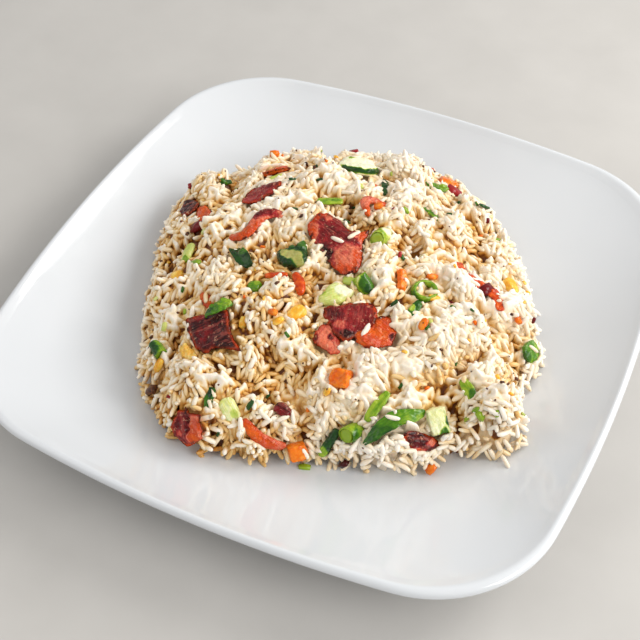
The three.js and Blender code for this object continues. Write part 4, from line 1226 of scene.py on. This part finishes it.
# Outlines of the large slices, in halves of their length and width.
MEAT_OUTLINES = {
    "meat_crown": [(-1, 0.6), (-0.84, 0.72), (-0.72, 0.88), (-0.56, 0.98), (-0.34, 1),
                   (-0.09, 0.98), (0.09, 0.91), (0.17, 0.74), (0.28, 0.6), (0.47, 0.45),
                   (0.69, 0.38), (1, 0.45), (0.94, 0.26), (0.81, 0.06), (0.78, -0.18),
                   (0.73, -0.45), (0.69, -0.73), (0.56, -0.91), (0.34, -1), (0.06, -0.98),
                   (-0.16, -0.88), (-0.3, -0.69), (-0.56, -0.46), (-0.69, -0.25),
                   (-0.84, 0.09), (-0.92, 0.33)],
    "meat_middle": [(-1, 0.74), (-0.77, 0.84), (-0.5, 0.8), (-0.18, 0.87), (0, 1), (0.27, 0.87),
                    (0.59, 0.84), (0.86, 0.74), (1, 0.47), (1.02, 0.1), (0.95, -0.2),
                    (0.78, -0.36), (0.52, -0.5), (0.3, -0.68), (0.08, -0.88), (-0.16, -1.05),
                    (-0.36, -0.84), (-0.59, -0.64), (-0.73, -0.32), (-0.82, 0.01), (-0.95, 0.28)],
    "meat_middle_pale": [(-0.72, 0.67), (-0.43, 0.95), (-0.05, 1.15), (0.4, 1.1), (0.85, 0.6),
                         (1.1, -0.05), (1.25, -0.5), (1, -0.95), (0.4, -1.05), (-0.05, -0.8),
                         (-0.52, -0.48), (-0.9, -0.23), (-1, 0.1), (-0.9, 0.4)],
    "meat_middle_fat": [(-1.5, -0.1), (-1.25, 0.2), (-0.65, 0.35), (-0.2, 1.0), (0.25, 1.3),
                        (0.71, 1.15), (0.78, 0.5), (1.05, 0.1), (0.98, -0.2), (0.74, -0.8),
                        (0.31, -0.9), (-0.15, -1.05), (-0.75, -0.95), (-1.25, -0.55)],
    "meat_left": [(-1, 0.7), (-0.74, 0.8), (-0.51, 0.93), (-0.28, 0.89), (0.08, 0.93), (0.38, 0.96),
                  (0.5, 0.72), (0.56, 0.42), (0.6, 0.1), (0.63, -0.2), (0.73, -0.5), (0.9, -0.8),
                  (1, -1), (0.8, -1), (0.52, -0.96), (0.3, -0.88), (0.1, -0.74), (-0.05, -0.72),
                  (-0.18, -0.84), (-0.38, -0.85), (-0.52, -0.7), (-0.67, -0.52), (-0.76, -0.25),
                  (-0.92, 0.2), (-0.97, 0.48)],
    "meat_corner": [(-0.05, 1), (-0.12, 0.78), (-0.62, 0.74), (-0.78, 0.4), (-0.89, 0.14),
                    (-1, -0.08), (-0.95, -0.2), (-0.84, -0.52), (-0.62, -0.68), (-0.3, -0.87),
                    (-0.03, -1), (0.35, -0.87), (0.68, -0.75), (0.95, -0.56), (1, -0.14),
                    (0.95, 0.14), (1, 0.43), (1, 0.59), (0.14, 0.65), (0.03, 0.78)],
}

# Slices that lie against the one beside them.
MEAT_SHIFTS = {"meat_middle_pale": (1.6, 0.4, 0.2), "meat_middle_fat": (-2.2, 0.6, 0.5)}

# Strips: slot, heading, how lean they are on the right and on the left, how much wider than
# packed, and how much they swell.
MEAT_STRIPS = {
    "meat_left_tip": ("fat", -36, 0.1, 0.2, 1, 0.4),
    "meat_arch": ("fat", 42, 0.2, 0.85, 1.35, 0.4),
    "meat_hook": ("fat", 69, 0.15, 0.45, 1.2, 0.4),
    "meat_front_left": ("fat", -20, 0.12, 0.3, 1, 0.4),
    "meat_sunk": ("lean", -12, 0.85, 1.0, 1, 0.4),
    "meat_back_bit": ("fat", -4, 0.15, 0.3, 1, 0.4),
    "meat_behind_left": ("fat", 130, 0.1, 0.6, 1, 0.4),
    "meat_right": ("pepper", -38, 0.1, 0.26, 1.8, 0.7),
}


def meat_slice(node, seed, finish):
    """A thin slice with a ragged outline, waves and an edge that turns round."""
    slot, heading, lean, wave, patches = MEAT_SLICES[node]
    piece = Morsel(node)
    share, angle = piece.share()
    half = np.ptp(piece.local[:, :2], 0) / 2
    if node in MEAT_OUTLINES:
        piece.trim(share, angle, MEAT_OUTLINES[node], half)
    around = np.stack([np.cos(angle), np.sin(angle), np.full_like(angle, seed)], 1)
    piece.local[:, :2] *= (1 + 0.06 * rough(around, 0.3, seed, 3) * share ** 2)[:, None]
    flat = piece.local * (1, 1, 0)
    facing = np.sign(piece.normals()[:, 2])
    piece.local[:, 2] += (wave * rough(flat, 6, seed + 3, 2) * share ** 1.3
                          + 0.4 * rough(flat, 2.4, seed + 5, 2)
                          - 0.45 * facing * smoothstep(0.6, 1.05, share))
    ragged = 0.14 * rough(flat, 3, seed + 9, 2)
    tone = piece.patch(np.full(len(share), lean), flat[:, :2] / half, patches,
                       lambda: ragged, 0.5, 1.4)
    piece.paint(lean=tone, rim=smoothstep(0.78, 0.98, share))
    piece.middle = piece.middle + MEAT_SHIFTS.get(node, 0)
    piece.aim(heading)
    piece.serve(finish)


def meat_strip(node, seed, finish):
    """A strip that is leaner along one side."""
    slot, heading, right, left, wider, swell = MEAT_STRIPS[node]
    piece = Morsel(node, heading)
    piece.local[:, 1] *= wider
    piece.swell(2.6, swell, seed + 20)
    side = piece.local[:, 1] / np.abs(piece.local[:, 1]).max()
    tone = lerp(right, left, smoothstep(-0.3, 0.6, side + 0.4 * rough(piece.local, 4, seed)))
    piece.paint(lean=tone, rim=smoothstep(0.7, 1.0, np.abs(side)))
    piece.serve(pepper_finish() if slot == "pepper" else finish)


def make_meat():
    finish = meat_finish()
    for seed, node in enumerate(MEAT_SLICES):
        meat_slice(node, seed, finish)
    for seed, node in enumerate(MEAT_STRIPS):
        meat_strip(node, seed, finish)


# ---- pepper, carrot, sweetcorn and egg ----

# Pieces of one colour: heading, slot, bevel of the cut edges, size and height of the swelling,
# and how much higher than packed they lie.
ROOTS = {
    "pepper_strip": (-53, "pepper", 0, 3, 0.25, 0.8),
    "pepper_sliver": (23, "pepper", 0, 3, 0.2, 1.6),
    "carrot_middle": (18, "carrot", 1.1, 3.5, 0.5, 0),
    "carrot_low_left": (46, "carrot", 0.6, 3.5, 0.3, 0),
    "carrot_right": (-65, "carrot", 0.4, 3, 0.25, 0.6),
    "carrot_behind": (30, "carrot", 0.6, 3.5, 0.3, -2),
    "corn_middle": (65, "corn", 0, 3, 0.35, 0),
    "corn_left": (-39, "corn", 0, 3, 0.4, 0),
    "corn_right": (-44, "corn", 0, 3, 0.35, 0.8),
    "egg_left": (-33, "corn", 0, 2.2, 0.7, 0),
}


def make_roots():
    finishes = {"pepper": pepper_finish(), "carrot": carrot_finish(), "corn": corn_finish(),
                "egg": egg_finish()}
    for seed, (node, (heading, slot, bevel, size, swell, raised)) in enumerate(ROOTS.items()):
        piece = Morsel(node, heading, bevel)
        piece.swell(size, swell, seed + 40)
        piece.local[:, 2] += raised
        piece.serve(finishes[node.split("_")[0]])


# ---- greens ----

# Greens: slot, which way the fibres run, how pale, swelling, and patches (u, v, radius, how
# pale, how much raised), u and v in halves of the piece's length and width.
GREENS = {
    "leaf_front": ("dark", 53, 0.38, 0.3, [
        (-0.6, -0.6, 0.7, 0.24, -0.3), (0.5, 0.5, 0.5, 0.46, 0.3)]),
    "leaf_left": ("dark", -24, 0.1, 0.5, [(0.2, 0.3, 0.4, 0.3, 0.4)]),
    "leaf_on_meat": ("green", 46, 0.4, 1.0, [
        (0.5, 0.4, 0.5, 0.5, 0.5), (-0.7, -0.3, 0.4, 0.2, 0)]),
    "leaf_low_left": ("dark", -77, 0.26, 0.5, [(0, 0.6, 0.5, 0.1, 0)]),
    "leaf_back": ("dark", -69, 0.12, 0.3, []),
    "leaf_behind": ("green", 15, 0.4, 0.5, [(0.4, 0.3, 0.4, 0.56, 0.3)]),
    "tail_right": ("green", -97, 0.24, 0.3, [(-0.3, 0, 0.4, 0.6, 0.2)]),
    "strip_front": ("green", -100, 0.52, 0.3, [(0, 0.7, 0.5, 0.64, 0)]),
    "stem_front": ("dark", -88, 0.12, 0.4, [(-0.6, -0.7, 0.5, 0.52, 0.2)]),
    "strip_upper": ("green", 23, 0.54, 0.3, [(0.5, 0, 0.4, 0.44, 0)]),
    "strip_right": ("green", -42, 0.56, 0.3, [(0.5, -0.4, 0.5, 0.36, 0)]),
    "curl_far_right": ("green", -32, 0.44, 0.5, [(-0.5, -0.3, 0.4, 0.58, 0.2)]),
    "crescent_back": ("pale", 69, 0.74, 0.3, []),
    "leek_back_left": ("pale", -87, 0.78, 0.4, [(-0.2, -0.8, 0.4, 0.5, 0)]),
    "dice_left": ("green", 10, 0.44, 0.3, [(0.6, 0.3, 0.4, 0.56, 0)]),
    "leek_low": ("pale", -43, 0.86, 0.5, [(0.5, -0.3, 0.4, 0.72, 0)]),
    "leek_middle": ("pale", 42, 0.8, 0.4, [(0.4, 0.2, 0.5, 1.0, 0.2), (-0.9, 0, 0.3, 0.6, 0)]),
    "zucchini_slice": ("pale", 25, 1.12, 0.4, [
        (0, 0, 3, 1.12, 1.2), (0, 1.0, 1.0, 1.12, 2.2), (-0.35, 0.3, 0.16, 0.5, 0)]),
    # zucchini_curl: the lighter, raised skin at the top and top right is a painted highlight.
    "zucchini_curl": ("dark", 25, 0.12, 0.4, [
        (-0.45, 0.0, 0.3, 0.7, -0.3), (-0.1, -0.25, 0.36, 0.74, -0.3), (0.35, -0.45, 0.42, 0.66, 0),
        (0.5, -0.75, 0.3, 0.6, 0), (0.7, 0.5, 0.34, 0.4, 0.9), (0, 0.5, 0.2, 0.3, 0.6)]),
    "square_right": ("green", -30, 0.42, 0.4, [
        (-0.8, -0.6, 0.5, 0.24, 0), (0.5, 0.5, 0.4, 0.52, 0.2)]),
    "leaf_far_right": ("green", 25, 0.46, 0.8, [
        (0.4, 0.2, 0.4, 0.6, 0.6), (-0.6, -0.2, 0.3, 0.3, -0.3)]),
    "tube_front": ("green", 100, 0.3, 0.2, [(0.7, -0.2, 0.4, 0.5, 0), (-0.7, 0, 0.3, 0.2, 0)]),
    "tube_middle": ("dark", 25, 0.3, 0.3, [(-1.0, 0.1, 0.7, 0.86, 0), (0.3, -0.9, 0.3, 0.14, 0)]),
    "tube_upper": ("pale", 60, 0.55, 0.3, [(0.6, 0.2, 0.55, 1.0, 0), (-0.8, -0.6, 0.4, 0.54, 0)]),
    "tube_left": ("dark", -30, 0.14, 0.3, [(-0.2, 0.6, 0.35, 0.5, 0)]),
    "ring_right": ("green", 34, 0.32, 0.3, [(-0.7, 0.2, 0.45, 0.5, 0), (0, 0.9, 0.4, 0.34, 0)]),
    "zucchini_block": ("pale", -50, 0.9, 0.4, [
        (1.0, -0.2, 0.42, 0.18, 0), (0.5, -1.0, 0.4, 0.3, 0)]),
}

GREEN_OUTLINES = {
    "leaf_front": [(-1, -0.9), (-0.95, -0.2), (-0.6, 0.35), (-0.2, 0.75), (0.2, 0.95), (0.6, 1),
                   (0.95, 0.95), (1, 0.6), (0.9, 0.3), (0.5, 0.15), (0.1, -0.15), (-0.3, -0.5),
                   (-0.6, -0.85), (-0.85, -1)],
    "zucchini_curl": [(-1, 0.28), (-0.88, 0.3), (-0.3, 0.4), (0, 0.58), (0.5, 0.66), (1, 1),
                      (1, 0.4), (0.96, -0.5), (0.76, -0.9), (0.3, -1), (-0.5, -0.9),
                      (-0.88, -0.43), (-1, 0)],
    "leek_middle": [(-1, -0.3), (-0.86, 0.05), (-0.4, 0.8), (-0.05, 1), (0.22, 0.82), (0.68, 0.45),
                    (1, 0.2), (0.86, -0.1), (0.64, -0.3), (0.27, -0.7), (-0.23, -1),
                    (-0.64, -0.9), (-0.9, -0.62)],
}

# Bevel of the pieces that were cut square.
GREEN_BEVELS = {"zucchini_block": 0.4, "square_right": 0.4}
# Cut stalks: how pale the inside and the cut ends are, and how far layers inside fill them.
HOLLOW = {"tube_front": (0.56, 0.93), "tube_middle": (0.6, 0.9), "tube_upper": (0.62, 0.98),
          "tube_left": (0.5, 0.8), "ring_right": (0.5, 0)}


def fill_stalk(piece, axis, half, radius, finish, cut):
    """Folded layers inside a cut stalk, as one core with round ends."""
    middle = piece.middle + piece.local.mean(0) @ piece.axes
    side = np.cross(axis, (0.3, 0.2, 1.0))
    side /= np.linalg.norm(side)
    other = np.cross(axis, side)
    turn = np.linspace(0, 2 * math.pi, 24, endpoint=False)
    rings = []
    for along, wide in ((-0.96, 0.5), (-1, 0.9), (-0.9, 1.0), (0.9, 1.0), (1, 0.9), (0.96, 0.5)):
        reach = radius * wide * (1 + 0.05 * np.sin(3 * turn))
        rings.append(middle + axis * half * along + reach[:, None]
                     * (np.cos(turn)[:, None] * side + np.sin(turn)[:, None] * other))
    points, faces = loft(rings, middle - axis * half * 0.9, middle + axis * half * 0.9)
    core = new_piece(piece.node + "_layers", points, faces)
    store(core.data, "pale", np.full(len(points), cut))
    core.data.materials.append(finish)


def open_stalk(piece, tone, finish):
    """Pales a stalk's inside and cut ends, and fills it with layers; returns its tone."""
    cage = piece.local - piece.local.mean(0)
    spread, lines = np.linalg.eigh(np.cov(cage.T))
    long_one = spread[2] - spread[1] > spread[1] - spread[0]
    axis = lines[:, 2 if long_one else 0]
    depth = cage @ axis
    round_it = np.sqrt(np.maximum((cage * cage).sum(1) - depth * depth, 0))
    inner = 1 - smoothstep(0.8, 0.9, round_it / round_it.max())
    ends = smoothstep(0.9, 0.97, np.abs(depth) / np.abs(depth).max())
    cut, fill = HOLLOW[piece.node]
    if fill:
        fill_stalk(piece, axis @ piece.axes, depth.max() * fill, np.percentile(round_it, 30),
                   finish, cut)
    return lerp(tone, cut, np.maximum(inner, ends))


def dark_skin(piece, tone):
    """Darkens the thin skin on the low side of a slice; returns its tone."""
    share, angle = piece.share()
    skin = smoothstep(0.88, 0.95, share) * smoothstep(-0.4, 0.1, np.cos(angle + 1.05))
    height = piece.local[:, 2]
    skin *= smoothstep(np.percentile(height, 15), np.percentile(height, 35), height)
    return lerp(tone, 0.12, skin)


def make_greens():
    leaf = greens_finish("leaf and stalk", LEAF_GREENS)
    squash = greens_finish("zucchini", SQUASH_GREENS)
    for seed, (node, (slot, heading, pale, swell, patches)) in enumerate(GREENS.items()):
        piece = Morsel(node, bevel=GREEN_BEVELS.get(node, 0))
        if node == "ring_right":      # its wall is thicker than packed
            piece.local = piece.local + 0.5 * piece.normals()
        half = np.ptp(piece.local[:, :2], 0) / 2
        if node in GREEN_OUTLINES:
            piece.trim(*piece.share(), GREEN_OUTLINES[node], half)
        piece.swell(3, swell, seed + 60)
        middle = (piece.local[:, :2].max(0) + piece.local[:, :2].min(0)) / 2
        tone = piece.patch(np.full(len(piece.local), pale), (piece.local[:, :2] - middle) / half,
                           patches, lambda: 0.1 * rough(piece.local, 3, seed, 2), 0.8, 1.15)
        if node == "zucchini_slice":
            tone = dark_skin(piece, tone)
        if node in HOLLOW:
            tone = open_stalk(piece, tone, leaf)
        piece.paint(pale=tone)
        piece.aim(heading)
        piece.serve(squash if node == "zucchini_curl" else leaf)


# ---- floor, light and camera ----

# Soft lamps: place in metres, size, power and colour.
LAMPS = {
    "window": ((0.62, 0.62, 0.62), (0.6, 0.5), 7.5, (1.0, 0.975, 0.935)),
    "side window": ((0.95, -0.12, 0.6), (0.6, 0.6), 6.6, (1.0, 0.975, 0.935)),
    "fill": ((-0.75, -0.5, 0.8), (0.9, 0.9), 3.2, (1.0, 0.98, 0.95)),
}
SKY = {"colour": (1.0, 0.985, 0.96, 1), "strength": 0.54}
# The camera: its place in metres, which ways its right and its top point, and its lens.
CAMERA = {"place": (0.1431, -0.3205, 0.4078), "right": (0.9064, 0.4224, -0.0033),
          "up": (-0.3164, 0.6841, 0.6572), "lens": 65.06, "sensor": 36}


def lay_floor(far=3.0):
    mesh = bpy.data.meshes.new("floor")
    mesh.from_pydata([(-far, -far, 0), (far, -far, 0), (far, far, 0), (-far, far, 0)], [],
                     [(0, 1, 2, 3)])
    stone = Finish("pale floor", Roughness=0.6)
    stone.set("Base Color", stone.ramp(stone.noise(40, 4), (0.3, linear(188, 186, 183)),
                                       (0.7, linear(194, 192, 189))))
    mesh.materials.append(stone.material)
    add_to_scene("floor", mesh)


def light_room():
    world = bpy.data.worlds.new("soft room")
    bpy.context.scene.world = world
    world.use_nodes = True
    sky = world.node_tree.nodes["Background"]
    sky.inputs["Color"].default_value = SKY["colour"]
    sky.inputs["Strength"].default_value = SKY["strength"]
    heap_middle = Vector((0, 0, 0.02))      # what every lamp points at
    for name, (place, size, power, colour) in LAMPS.items():
        lamp = bpy.data.lights.new(name, "AREA")
        lamp.shape = "RECTANGLE"
        lamp.size, lamp.size_y = size
        lamp.energy = power
        lamp.color = colour
        light = add_to_scene(name, lamp)
        light.location = place
        light.rotation_mode = "QUATERNION"
        light.rotation_quaternion = (heap_middle - Vector(place)).to_track_quat("-Z", "Y")


def set_camera():
    lens = bpy.data.cameras.new("camera")
    lens.lens, lens.sensor_width = CAMERA["lens"], CAMERA["sensor"]
    lens.clip_start, lens.clip_end = 0.05, 20
    camera = add_to_scene("camera", lens)
    right, up = Vector(CAMERA["right"]), Vector(CAMERA["up"])
    camera.matrix_world = Matrix((right, up, right.cross(up))).transposed().to_4x4()
    camera.matrix_world.translation = CAMERA["place"]
    bpy.context.scene.camera = camera
    bpy.context.scene.view_settings.view_transform = "Standard"


make_plate()
rice_grains(rice_finish())
make_scraps()
make_meat()
make_roots()
make_greens()
lay_floor()
light_room()
set_camera()
